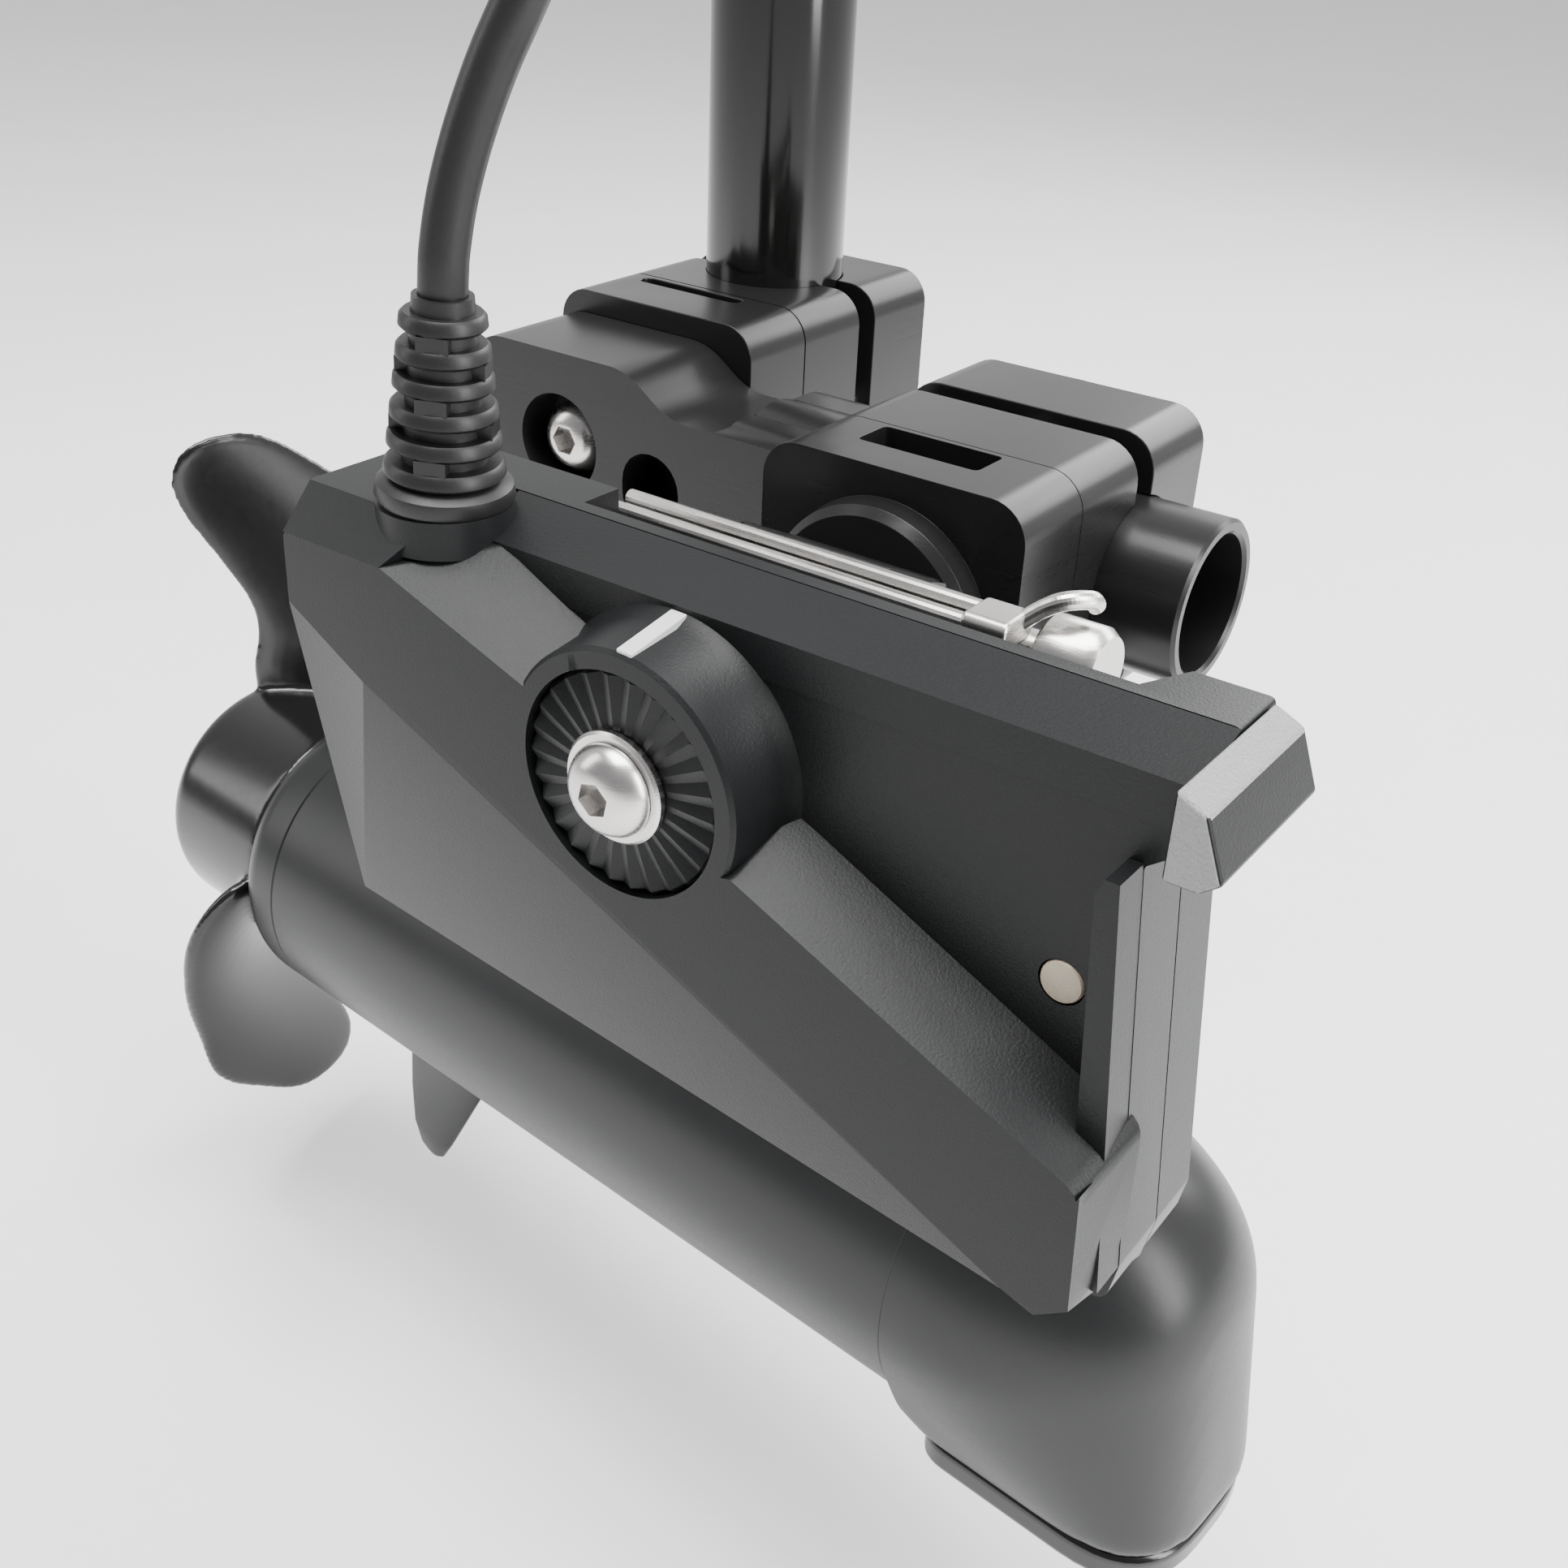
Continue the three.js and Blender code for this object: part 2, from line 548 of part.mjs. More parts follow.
// Plate behind the sonar head with a lug on each side of the tongue.
function makeSonarBracket() {
  const face = HEAD.back + GAP;
  const thick = 5.5;
  const disc = rod("y", TILT.x, TILT.z, 14.5, face, face + thick, SMALL_ROUND);
  const plate = prism("y", roundedRect(65.5, 106.5, -38, -13, 3), face, face + thick, 2);
  const outline = [
    [face + 5, -13.4], [face + 5, -24], [PIN.y + 1, -17.5], [PIN.y + 4.6, -14], [PIN.y + 5.3, PIN.z],
    [PIN.y + 3.6, -7], [PIN.y, -5.6], [PIN.y - 3.6, -7],
  ];
  const width = 7;
  const inner = TONGUE_HALF + GAP;
  const lugs = [TUBE_CLAMP_X - inner - width, TUBE_CLAMP_X + inner].map((x) =>
    prism("x", polygon(outline), x, x + width),
  );
  const boltWay = hole("y", TILT.x, TILT.z, 3.3, face - 1, face + thick + 1, SCREW_ROUND);
  node("sonar_bracket", cut(join(disc, plate, ...lugs), pinWay(), boltWay), "anodised");
}

// ---------- lock pin and wire bail ----------
function makeLockPin() {
  const [neck, end] = PIN.head;
  const { r } = PIN;
  const profile = [
    [0, 50], [r - 0.8, 50], [r, 51.5], [r, neck], [6.3, neck], [6.3, end - 1], [5.5, end], [0, end],
  ];
  node("lock_pin", turned("x", profile, 16, PIN.y, PIN.z), "steel");
  const { wire, near, far, z, left, right } = BAIL;
  const prongs = [near, far].map((y, i) => rod("x", y, z + i * 0.4, wire, left + i, right, 6));
  const ferruleEnd = roundedRect(near - 1.6, far + 2.4, z - 2.6, z + 2, 1.2);
  const ferrule = prism("x", ferruleEnd, right - 1, right + 6, 1);
  const hook = [
    [right + 5, far, z + 0.4],
    [right + 7.5, far + 1.4, z + 2.6],
    [right + 10, PIN.y - 2.6, z + 4],
    [right + 12.2, PIN.y + 0.4, z + 3.8],
    [right + 12.4, PIN.y + 2, z + 2.6],
  ];
  node("wire_bail", join(...prongs, ferrule, cord(hook, wire, 7, 6)), "steel");
}

// ---------- sonar head ----------
// Outline of the flat body, whose right end leans outwards towards its foot.
function headOutline(top) {
  const { left, right, low, top: high } = HEAD;
  const foot = low - 7;
  return polygon([
    [left, low], [150, low], [157, foot], [right, foot], [right + 1.5, low], [right - 4.5, -15],
    [right, -11.5], [right, top], [52, top], [48, high], [26, high], [24.6, top], [24.6, -18], [left, -19],
  ]);
}

const tiltWay = (r, from, to, sides) => hole("y", TILT.x, TILT.z, r, from, to, sides);
const tiltCore = (from, to) => rod("y", TILT.x, TILT.z, 8, from, to, 10);

function makeFrontShell() {
  const { left, right, low, front, face, top } = HEAD;
  const seam = HEAD.seam - GAP;
  const body = prism("y", headOutline(top - 3), face, seam);
  const rim = box(24.6, 56, face - 5, seam, top - 4.5, top);
  const slope = prism("x", polygon([[seam, top], [face, top - 3], [face, -12], [seam, -12]]), 50, right);
  const ridge = [
    [24.8, -6.3], [24.5, -17.3], [39.5, -25.8], [152, -74.5], [158, -76.5], [right, -73], [right, -54.5],
    [107, -31.7], [89, -38], [72.4, -16], [44.7, -6.3],
  ];
  const ridgeSlab = prism("y", polygon(ridge), front, face + 1);
  const chamfer = [[front, -6.3], [face - 5.5, top], [face + 2, top], [face + 2, -12], [front, -12]];
  const corner = prism("x", polygon(chamfer), 24.8, 44.7);
  const boss = rod("y", TILT.x, TILT.z, BOSS_R, front, face + 1);
  const shell = join(body, rim, slope, ridgeSlab, corner, boss);
  const hollow = box(left + HEAD_WALL, right - 8, face + HEAD_WALL, HEAD.seam + 1, low + HEAD_WALL, top - 6);
  const made = cut(
    join(cut(shell, hollow), tiltCore(face, seam)),
    tiltWay(3.3, front - 1, HEAD.seam, SCREW_ROUND),
    tiltWay(16.3, front - 1, front + 4.3, ROUND),
    hole("y", ...SENSOR, 3.3, face - 1, face + 5, SCREW_ROUND),
    hole("z", BOOT.x, BOOT.y, LEAD_R + 0.6, top - 12, top + 1, SCREW_ROUND),
  );
  node("sonar_front_shell", made, "plastic");
}

function makeBackShell() {
  const { left, right, low, seam, back, top } = HEAD;
  const slab = prism("y", headOutline(top), seam, back);
  const relief = box(60, 141, seam + 2.5, back + 1, -9, top + 1);
  const hollow = box(left + HEAD_WALL, right - 8, seam - 1, back - HEAD_WALL, low + HEAD_WALL, -12);
  const shell = join(cut(slab, relief, hollow), tiltCore(seam, back));
  node("sonar_back_shell", cut(shell, tiltWay(3.3, seam - 1, back + 1, SCREW_ROUND)), "plastic");
}

function makeHeadDetails() {
  const foot = HEAD.right + GAP;
  const nose = [[foot, 0], [foot, -11.5], [foot + 4.2, -11.5], [foot + 6.7, -9.5], [foot + 3.7, -1.8]];
  node("sonar_nose", prism("y", polygon(nose), -147, -120), "plastic");
  const { x, z } = TILT;
  const face = HEAD.front + 0.4;
  const disc = ring("y", 3.3, 16, face, HEAD.front + 4, 24, x, z);
  node("tilt_rosette", cut(disc, ...grooveTools(face)), "plastic");
  const washerTop = face - 1.9;
  node("tilt_washer", ring("y", 3.3, 8.2, washerTop, face - GAP, ROUND, x, z), "steel");
  const under = washerTop - GAP;
  const dome = [[0, under - 3.4], [3.4, under - 3.2], [5.6, under - 1.9], [6.6, under], [0, under]];
  const socket = [[0, under - 5], [2.2, under - 5], [2.2, under - 1], [0, under - 1]];
  const head = cut(turned("y", dome, ROUND, x, z), turned("y", socket, 6, x, z));
  const shank = rod("y", x, z, 2.9, under - 0.1, HEAD.back + 5, SCREW_ROUND);
  node("tilt_bolt", join(head, shank), "steel");
  node("water_sensor", rod("y", ...SENSOR, 3, HEAD.face - 0.2, HEAD.face + 4.5, 10), "tan");
  node("sonar_array", box(100, 150, HEAD.seam - 3, HEAD.seam + 5, -66, -20), "ceramic");
}

// Radial V grooves of the disc's face.
function grooveTools(face) {
  const teeth = 24;
  const tools = [];
  for (let i = 0; i < teeth; i += 1) {
    const wedge = new THREE.ExtrudeGeometry(polygon([[-1, -0.6], [1, -0.6], [0, 1.2]]), {
      depth: 9,
      bevelEnabled: false,
    });
    wedge.translate(0, 0, 8.6).rotateY((2 * Math.PI * i) / teeth);
    tools.push(solid(wedge.translate(TILT.x, face, TILT.z)));
  }
  return tools;
}

// Ribbed boot that leans a little with the lead.
function makeStrainRelief() {
  const ribs = 5;
  const flange = 2.6;
  const profile = [[0, 0], [9.6, 0], [9.6, flange], [8.2, flange + 0.4]];
  const pitch = (BOOT.height - flange - 0.6) / ribs;
  for (let i = 0; i < ribs; i += 1) {
    const z = flange + 0.6 + i * pitch;
    const r = 9 - (2.9 * (i + 0.5)) / ribs;
    profile.push([r - 1.7, z], [r, z + pitch * 0.4], [r, z + pitch * 0.9]);
  }
  profile.push([5.6, BOOT.height], [0, BOOT.height]);
  const leadRoom = hole("z", 0, 0, LEAD_R + 0.35, BOOT.height - 12, BOOT.height + 2, SCREW_ROUND);
  const boot = cut(turned("z", profile, SMALL_ROUND), leadRoom);
  node("strain_relief", boot.rotate([0, BOOT.lean, 0]).translate([BOOT.x, BOOT.y, 0.9]), "rubber");
}

// ---------- steering housing and bracket ----------
function makeHousing() {
  const { bottom, top, half, front, back, wall } = HOUSING;
  const outline = roundedRect(-half, half, front, back, 12);
  const inside = roundedRect(-half + wall, half - wall, front + wall, back - wall, 9);
  const seat = (from, to) => hole("z", 0, 0, BUSH_SEAT_R, from, to, 16);
  const ports = Object.values(CABLE_PORTS).map((y) =>
    hole("x", y, BRACKET_Z, 4.3, -half - 1, -half + wall + 1, SCREW_ROUND),
  );
  const shell = prism("z", outline, bottom, top - wall - GAP, 4);
  const room = prism("z", inside, bottom + wall, top, 4);
  node("steering_housing", cut(shell, room, seat(bottom - 1, bottom + wall + 1), ...ports), "painted");
  node("housing_lid", cut(prism("z", outline, top - wall, top, 4), seat(top - wall - 1, top + 1)), "painted");
  const sleeve = (from, to, outer) => ring("z", SHAFT_R + RUNNING, outer, from, to);
  const lowerBush = join(sleeve(bottom - 3, bottom - GAP, 22), sleeve(bottom - 1, bottom + 12, 18));
  const upperBush = join(sleeve(top + GAP, top + 3, 22), sleeve(top - 12, top + 1, 18));
  node("lower_bush", lowerBush, "bronze");
  node("upper_bush", upperBush, "bronze");
  for (const [side, y] of Object.entries(CABLE_PORTS)) {
    const stem = ring("x", 1.6, 4, -half - 2, -half + wall + 3, 10, y, BRACKET_Z);
    const nut = ring("x", 1.6, 7, -half - 18, -half - GAP, 6, y, BRACKET_Z);
    node(`pedal_cable_gland_${side}`, join(stem, nut), "steel");
  }
}

function makeBracket() {
  const { halfX, halfZ, holeInset, holeR } = BRACKET;
  const start = HOUSING.back + GAP;
  const outline = roundedRect(-halfX, halfX, BRACKET_Z - halfZ, BRACKET_Z + halfZ, 10);
  const holes = [];
  for (const x of [-halfX + holeInset, halfX - holeInset]) {
    for (const z of [-halfZ + holeInset, halfZ - holeInset]) {
      holes.push(hole("y", x, BRACKET_Z + z, holeR, start - 1, BRACKET_FACE + 1, SCREW_ROUND));
    }
  }
  node("mounting_plate", cut(prism("y", outline, start, BRACKET_FACE, 4), ...holes), "painted");
}

function makeSteering() {
  const [foot, top] = [BRACKET_Z - 28, BRACKET_Z + 28];
  const profile = [
    [0, foot], [30, foot], [30, foot + 8], [26, foot + 12], [26, top - 12], [30, top - 8], [30, top],
    [0, top],
  ];
  const shaftRoom = hole("z", 0, 0, SHAFT_R + GAP, foot - 1, top + 1, 16);
  node("steering_drum", cut(turned("z", profile, 24), shaftRoom), "bronze");
  makeDepthCollar();
}

function makeDepthCollar() {
  const { foot, height } = COLLAR;
  const top = foot + height;
  const middle = foot + height / 2;
  const band = join(ring("z", SHAFT_R + GAP, 24, foot, top, 28), box(-9, 9, -32, -16, foot, top));
  const room = rod("z", 0, 0, SHAFT_R + GAP, foot - 1, top + 1, 16);
  const threadWay = hole("y", 0, middle, 3.3, -33, -SHAFT_R, SCREW_ROUND);
  node("depth_collar", cut(band, room, threadWay), "plastic");
  const lobes = 5;
  const steps = lobes * 8;
  const outline = [];
  for (let i = 0; i < steps; i += 1) {
    const a = (2 * Math.PI * i) / steps;
    const r = 13 + 2 * Math.cos(lobes * a);
    outline.push([r * Math.cos(a), middle + r * Math.sin(a)]);
  }
  const knob = prism("y", polygon(outline), -46, -33);
  const stem = rod("y", 0, middle, 3, -34, -SHAFT_R - GAP, SCREW_ROUND);
  node("depth_knob", join(knob, stem), "plastic");
}

// ---------- control head ----------
// Level outline of the head's cover, drawn in by an inset.
function coverRing(inset, z) {
  const { foot, x, half, corner } = TOP_HEAD;
  const r = Math.max(corner - inset, 8);
  const shape = roundedRect(x[0] + inset, x[1] - inset, -half + inset, half - inset, r);
  const points = shape.getPoints(2).filter((p, i, all) => p.distanceTo(all[(i || all.length) - 1]) > 1e-3);
  return points.map((p) => [p.x, p.y, foot + z]);
}

const coverLoft = (levels) => loft(levels.map(([inset, z]) => coverRing(inset, z)));

function makeHead() {
  const { foot, seam, x, half, corner } = TOP_HEAD;
  const lip = 5;
  const glandY = -20;
  const glandZ = foot + 9;
  const tray = prism("z", roundedRect(x[0], x[1], -half, half, corner), foot, foot + seam, 4);
  const inside = roundedRect(x[0] + lip, x[1] - lip, -half + lip, half - lip, corner - lip);
  const base = cut(
    join(tray, rod("z", 0, 0, 24, foot - 18, foot + 2, 16)),
    prism("z", inside, foot + 8, foot + seam + 2, 4),
    hole("z", 0, 0, SHAFT_R + GAP, foot - 20, foot + seam + 2, 16),
    hole("x", glandY, glandZ, 6.3, x[0] - 2, x[0] + 12, SCREW_ROUND),
  );
  node("head_base", base, "painted");
  const shell = coverLoft([[0, seam + GAP], [0, 40], [3, 54], [9, 63], [20, 69], [34, 71.5]]);
  const hollow = coverLoft([[4, seam - 1], [4, 40], [7, 52], [14, 60]]);
  node("head_cover", cut(shell, hollow), "gloss");
  const board = box(-40, 70, -32, 32, foot + 23, foot + 25);
  node("control_board", cut(board, hole("z", 0, 0, SHAFT_R + 3, foot, foot + 60, SMALL_ROUND)), "magnet");
  const stem = ring("x", 3.6, 6, x[0] - 8, x[0] + 10, 16, glandY, glandZ);
  const nut = ring("x", 3.6, 9, x[0] - 12, x[0] - GAP, 6, glandY, glandZ);
  node("battery_lead_gland", join(stem, nut), "rubber");
}

// ---------- assembly ----------
makeShaft();
makeLeads();
makePodHousing();
makeNose();
makeEndBell();
makeMotor();
makePropeller();
makeClamp("shaft_clamp", (shape) => shape, shaftPlate);
makeClamp("tube_clamp", placeOnTube, tubePlate);
makeArm();
makeSonarBracket();
makeLockPin();
makeFrontShell();
makeBackShell();
makeHeadDetails();
makeStrainRelief();
makeHousing();
makeBracket();
makeSteering();
makeHead();

const assembly = new THREE.Group();
assembly.name = "trolling_motor";
everything.position.set(0, -BRACKET_FACE, -BRACKET_Z);
assembly.add(everything);

export default assembly;
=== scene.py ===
"""A bow-mount trolling motor with a sonar head on a clamped arm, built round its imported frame."""

import math

import bmesh
import bpy
from mathutils import Matrix, Vector


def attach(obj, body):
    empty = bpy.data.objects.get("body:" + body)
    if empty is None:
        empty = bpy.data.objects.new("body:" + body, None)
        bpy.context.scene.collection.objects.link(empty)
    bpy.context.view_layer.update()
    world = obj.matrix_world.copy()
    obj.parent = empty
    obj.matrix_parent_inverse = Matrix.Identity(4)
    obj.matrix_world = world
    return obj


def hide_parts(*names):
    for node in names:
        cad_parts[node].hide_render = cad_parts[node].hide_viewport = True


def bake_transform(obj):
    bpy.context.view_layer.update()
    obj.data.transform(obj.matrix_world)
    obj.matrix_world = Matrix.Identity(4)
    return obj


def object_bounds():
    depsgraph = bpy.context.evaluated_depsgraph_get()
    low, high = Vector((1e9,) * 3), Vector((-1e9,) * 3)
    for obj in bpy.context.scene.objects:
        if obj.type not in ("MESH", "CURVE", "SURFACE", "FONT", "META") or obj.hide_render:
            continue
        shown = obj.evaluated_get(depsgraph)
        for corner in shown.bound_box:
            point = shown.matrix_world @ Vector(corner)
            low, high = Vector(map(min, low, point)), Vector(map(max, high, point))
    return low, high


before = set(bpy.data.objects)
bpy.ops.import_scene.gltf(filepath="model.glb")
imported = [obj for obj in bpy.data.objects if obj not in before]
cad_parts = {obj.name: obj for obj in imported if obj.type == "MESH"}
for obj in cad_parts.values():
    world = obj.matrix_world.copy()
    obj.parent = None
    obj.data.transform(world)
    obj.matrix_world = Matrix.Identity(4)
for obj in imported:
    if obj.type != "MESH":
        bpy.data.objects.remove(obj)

CAD_BOX = [list(corner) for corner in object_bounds()]

# Pieces are drawn in millimetres on the steering axis, with z = 0 at the top of the shaft clamp,
# and moved into the frame at the end.
MM = 0.001
AXIS_FROM_PLATE = -60.3
CLAMP_TOP = -380
SHAFT_R = 14.3
SHAFT_FOOT = -168
SHAFT_TOP = 594
POD_AXIS_Z = -214.4
POD_R = 46
POD_YAW = math.radians(-4.9)
TILT = (88, -25)
PIN = (-106, -10.9)
TUBE = (-46.9, -23.5)
TUBE_CLAMP_X = 86
CLAMP_W = 48
TONGUE_HALF = 13
LEAD_R = 3.4
BOOT = (45.5, -139.5)
ARM_PIVOT = (-3, -22)
BRACKET_Z = 380
SHAFT_ROOM = 14.6
HOUSING = dict(low=330, top=430, half=45, front=-42, back=48, wall=4)
BUSH_SEAT_R = 18.3
CABLE_PORTS = {"left": -26, "right": 26}
HEAD_FOOT = 556
HEAD_CORNER = 26
HEAD_BOX = (-62, 98, -48, 48)
CASE_SCREWS = ((32, -64), (146, -66), (32, -24), (150, -24))

TO_FRAME = Matrix.Scale(MM, 4) @ Matrix.Translation((0, AXIS_FROM_PLATE, CLAMP_TOP))
POD_TURN = Matrix.Rotation(POD_YAW, 4, "Z")
ON_TUBE = Matrix.Translation((TUBE_CLAMP_X + CLAMP_W / 2, *TUBE)) @ Matrix.Rotation(math.pi / 2, 4, "Y")


# ---------- camera ----------
CAMERA_PLACE = Vector((0.22032, -0.363608, -0.288128))
CAMERA_YAW, CAMERA_PITCH, CAMERA_ROLL = (math.radians(a) for a in (34.9, 29.99, 2.71))
SENSOR_WIDTH = 36
LENS = 40.435


def make_camera():
    """Yaw turns it left from +Y, pitch tips it down, and roll turns it about its line of sight."""
    yaw, pitch, roll = CAMERA_YAW, CAMERA_PITCH, CAMERA_ROLL
    ahead = Vector((-math.sin(yaw) * math.cos(pitch), math.cos(yaw) * math.cos(pitch), -math.sin(pitch)))
    level = Vector((math.cos(yaw), math.sin(yaw), 0))
    up = level.cross(ahead)
    right = level * math.cos(roll) + up * math.sin(roll)
    top = up * math.cos(roll) - level * math.sin(roll)
    data = bpy.data.cameras.new("camera")
    data.sensor_width = SENSOR_WIDTH
    data.lens = LENS
    data.clip_start = 0.01
    camera = bpy.data.objects.new("camera", data)
    turn = Matrix((right, top, -ahead)).transposed()
    camera.matrix_world = Matrix.Translation(CAMERA_PLACE) @ turn.to_4x4()
    bpy.context.scene.collection.objects.link(camera)
    bpy.context.scene.camera = camera


make_camera()


# ---------- materials ----------
def blended(tree, kind, factor, low, high):
    """A mix of two values or colours by a factor socket."""
    mix = tree.nodes.new("ShaderNodeMix")
    mix.data_type = kind
    first = 6 if kind == "RGBA" else 2
    mix.inputs[first].default_value = low
    mix.inputs[first + 1].default_value = high
    tree.links.new(factor, mix.inputs[0])
    return mix.outputs[2 if kind == "RGBA" else 0]


def noise(tree, place, stretch, detail):
    """Noise over the piece; stretch is how many grains there are in a metre along x, y and z."""
    mapping = tree.nodes.new("ShaderNodeMapping")
    mapping.inputs["Scale"].default_value = stretch
    tree.links.new(place, mapping.inputs["Vector"])
    texture = tree.nodes.new("ShaderNodeTexNoise")
    texture.inputs["Scale"].default_value = 1
    texture.inputs["Detail"].default_value = detail
    tree.links.new(mapping.outputs[0], texture.inputs["Vector"])
    return texture.outputs["Fac"]


def make_material(name, dark, light, rough, metallic=0.0, grain=(900,) * 3, cloud=(14,) * 3, relief=0.1,
                  depth=0.0002, coat=0.0, specular=0.5):
    """Colour and roughness drift over the piece in soft clouds, and fine grain lifts its surface."""
    material = bpy.data.materials.new(name)
    material.use_nodes = True
    tree = material.node_tree
    shader = tree.nodes["Principled BSDF"]
    place = tree.nodes.new("ShaderNodeTexCoord").outputs["Object"]
    drift = noise(tree, place, cloud, 4)
    fine = noise(tree, place, grain, 3)
    tree.links.new(blended(tree, "RGBA", drift, (*dark, 1), (*light, 1)), shader.inputs["Base Color"])
    even = tree.nodes.new("ShaderNodeMath")
    even.operation = "ADD"
    tree.links.new(blended(tree, "FLOAT", drift, rough[0], rough[1]), even.inputs[0])
    tree.links.new(blended(tree, "FLOAT", fine, -0.05, 0.05), even.inputs[1])
    tree.links.new(even.outputs[0], shader.inputs["Roughness"])
    bump = tree.nodes.new("ShaderNodeBump")
    bump.inputs["Strength"].default_value = relief
    bump.inputs["Distance"].default_value = depth
    tree.links.new(fine, bump.inputs["Height"])
    tree.links.new(bump.outputs[0], shader.inputs["Normal"])
    shader.inputs["Metallic"].default_value = metallic
    shader.inputs["Coat Weight"].default_value = coat
    shader.inputs["Coat Roughness"].default_value = 0.12
    shader.inputs["Specular IOR Level"].default_value = specular
    return material


def grey(level, warm=0.0):
    return (level * (1 + warm), level, level * (1 - warm))


MATERIALS = {
    "anodised": make_material("anodised", grey(0.008), grey(0.014), (0.24, 0.34), metallic=0.2,
                              grain=(60, 60, 1600), cloud=(20, 20, 30), relief=0.05, specular=0.35),
    "composite": make_material("composite", grey(0.004, 0.05), grey(0.007, 0.05), (0.1, 0.18),
                               grain=(700, 700, 30), cloud=(60, 60, 12), relief=0.03, coat=0.3),
    "painted": make_material("painted", grey(0.007, -0.03), grey(0.012, -0.03), (0.3, 0.4), relief=0.06,
                             depth=0.0002, specular=0.35),
    "plastic": make_material("plastic", grey(0.006, -0.05), grey(0.01, -0.05), (0.34, 0.44),
                             grain=(2600,) * 3, relief=0.2, specular=0.2),
    "gloss": make_material("gloss", grey(0.004), grey(0.007), (0.16, 0.26), grain=(500,) * 3, relief=0.04,
                           coat=0.1),
    "rubber": make_material("rubber", grey(0.007), grey(0.012), (0.36, 0.46), grain=(1500,) * 3, relief=0.12,
                            specular=0.35),
    "steel": make_material("steel", grey(0.5, 0.03), grey(0.68, 0.03), (0.2, 0.34), metallic=1.0,
                           grain=(90, 90, 2400), cloud=(90,) * 3),
    "bronze": make_material("bronze", (0.4, 0.27, 0.12), (0.55, 0.4, 0.2), (0.28, 0.42), metallic=1.0,
                            grain=(60, 60, 1800)),
    "copper": make_material("copper", (0.38, 0.15, 0.07), (0.55, 0.24, 0.11), (0.3, 0.45), metallic=0.8,
                            grain=(40, 1500, 1500), relief=0.5, depth=0.0004),
    "magnet": make_material("magnet", grey(0.05), grey(0.09), (0.5, 0.65), grain=(1200,) * 3, relief=0.3),
    "tan": make_material("tan", (0.34, 0.28, 0.21), (0.42, 0.36, 0.28), (0.4, 0.5), grain=(2500,) * 3,
                         relief=0.15),
    "smoked": make_material("smoked", grey(0.005), grey(0.009), (0.14, 0.22), relief=0.03),
    "ceramic": make_material("ceramic", (0.6, 0.58, 0.5), (0.72, 0.7, 0.62), (0.5, 0.6), relief=0.15),
    "mark": make_material("mark", grey(0.5), grey(0.62), (0.35, 0.45), relief=0.05),
    "board": make_material("board", (0.01, 0.06, 0.03), (0.02, 0.1, 0.05), (0.3, 0.42), grain=(1200,) * 3,
                           relief=0.2),
    # Light grey that stands for the bright bevel of the nose: a painted highlight on its upward and
    # front-facing faces.
    "painted_highlight": make_material("painted_highlight", grey(0.2), grey(0.3), (0.42, 0.55), grain=(2400,) * 3, relief=0.9,
                            depth=0.0006),
}


# ---------- solids, in millimetres ----------
def new_object(name, mesh):
    piece = bpy.data.objects.new(name, mesh)
    bpy.context.scene.collection.objects.link(piece)
    return piece


def from_faces(name, points, faces):
    mesh = bpy.data.meshes.new(name)
    mesh.from_pydata(points, [], faces)
    shape = bmesh.new()
    shape.from_mesh(mesh)
    bmesh.ops.remove_doubles(shape, verts=shape.verts, dist=1e-4)
    bmesh.ops.recalc_face_normals(shape, faces=shape.faces)
    shape.to_mesh(mesh)
    shape.free()
    return new_object(name, mesh)


def settle(piece):
    """Makes the piece's modifiers part of its mesh."""
    bpy.context.view_layer.update()
    whole = piece.evaluated_get(bpy.context.evaluated_depsgraph_get())
    mesh = bpy.data.meshes.new_from_object(whole)
    piece.modifiers.clear()
    piece.data = mesh
    return piece


def combine(piece, operation, tools):
    for tool in tools:
        change = piece.modifiers.new(operation, "BOOLEAN")
        change.operation = operation
        change.solver = "EXACT"
        change.object = tool
        settle(piece)
        bpy.data.objects.remove(tool)
    return piece


def cut(piece, *tools):
    return combine(piece, "DIFFERENCE", tools)


def join(piece, *others):
    return combine(piece, "UNION", others)


def merge(first, *others):
    """Puts pieces that stand in each other into one mesh as they are."""
    whole = bmesh.new()
    for piece in (first, *others):
        whole.from_mesh(piece.data)
    whole.to_mesh(first.data)
    whole.free()
    for piece in others:
        bpy.data.objects.remove(piece)
    return first


def soften(piece, width, segments=3, angle=30):
    """Rounds the piece's edges."""
    bevel = piece.modifiers.new("edges", "BEVEL")
    bevel.width = width
    bevel.segments = segments
    bevel.limit_method = "ANGLE"
    bevel.angle_limit = math.radians(angle)
    bevel.use_clamp_overlap = True
    bevel.harden_normals = True
    piece.data.shade_smooth()
    return settle(piece)


def fuse(piece, voxel, rounds):
    """One smooth skin over the piece, with small fillets where its solids meet."""
    skin = piece.modifiers.new("skin", "REMESH")
    skin.mode = "VOXEL"
    skin.voxel_size = voxel
    skin.use_smooth_shade = True
    even = piece.modifiers.new("even", "SMOOTH")
    even.factor = 0.5
    even.iterations = rounds
    return settle(piece)


def loft(name, sections, closed=False):
    """Skin through sections of [x, y, z] points, capped at both ends unless closed."""
    n = len(sections[0])
    points = [p for section in sections for p in section]
    rows = len(sections) if closed else len(sections) - 1
    faces = []
    for j in range(rows):
        k = (j + 1) % len(sections)
        for i in range(n):
            m = (i + 1) % n
            faces.append((j * n + i, j * n + m, k * n + m, k * n + i))
    if not closed:
        faces.append(tuple(range(n)))
        faces.append(tuple(range(len(points) - n, len(points))))
    return from_faces(name, points, faces)


def on_axis(axis, u, v, w):
    """Point from prism coordinates: (y, z) with x, (x, z) with y or (x, y) with z."""
    return {"x": (w, u, v), "y": (u, w, v), "z": (u, v, w)}[axis]


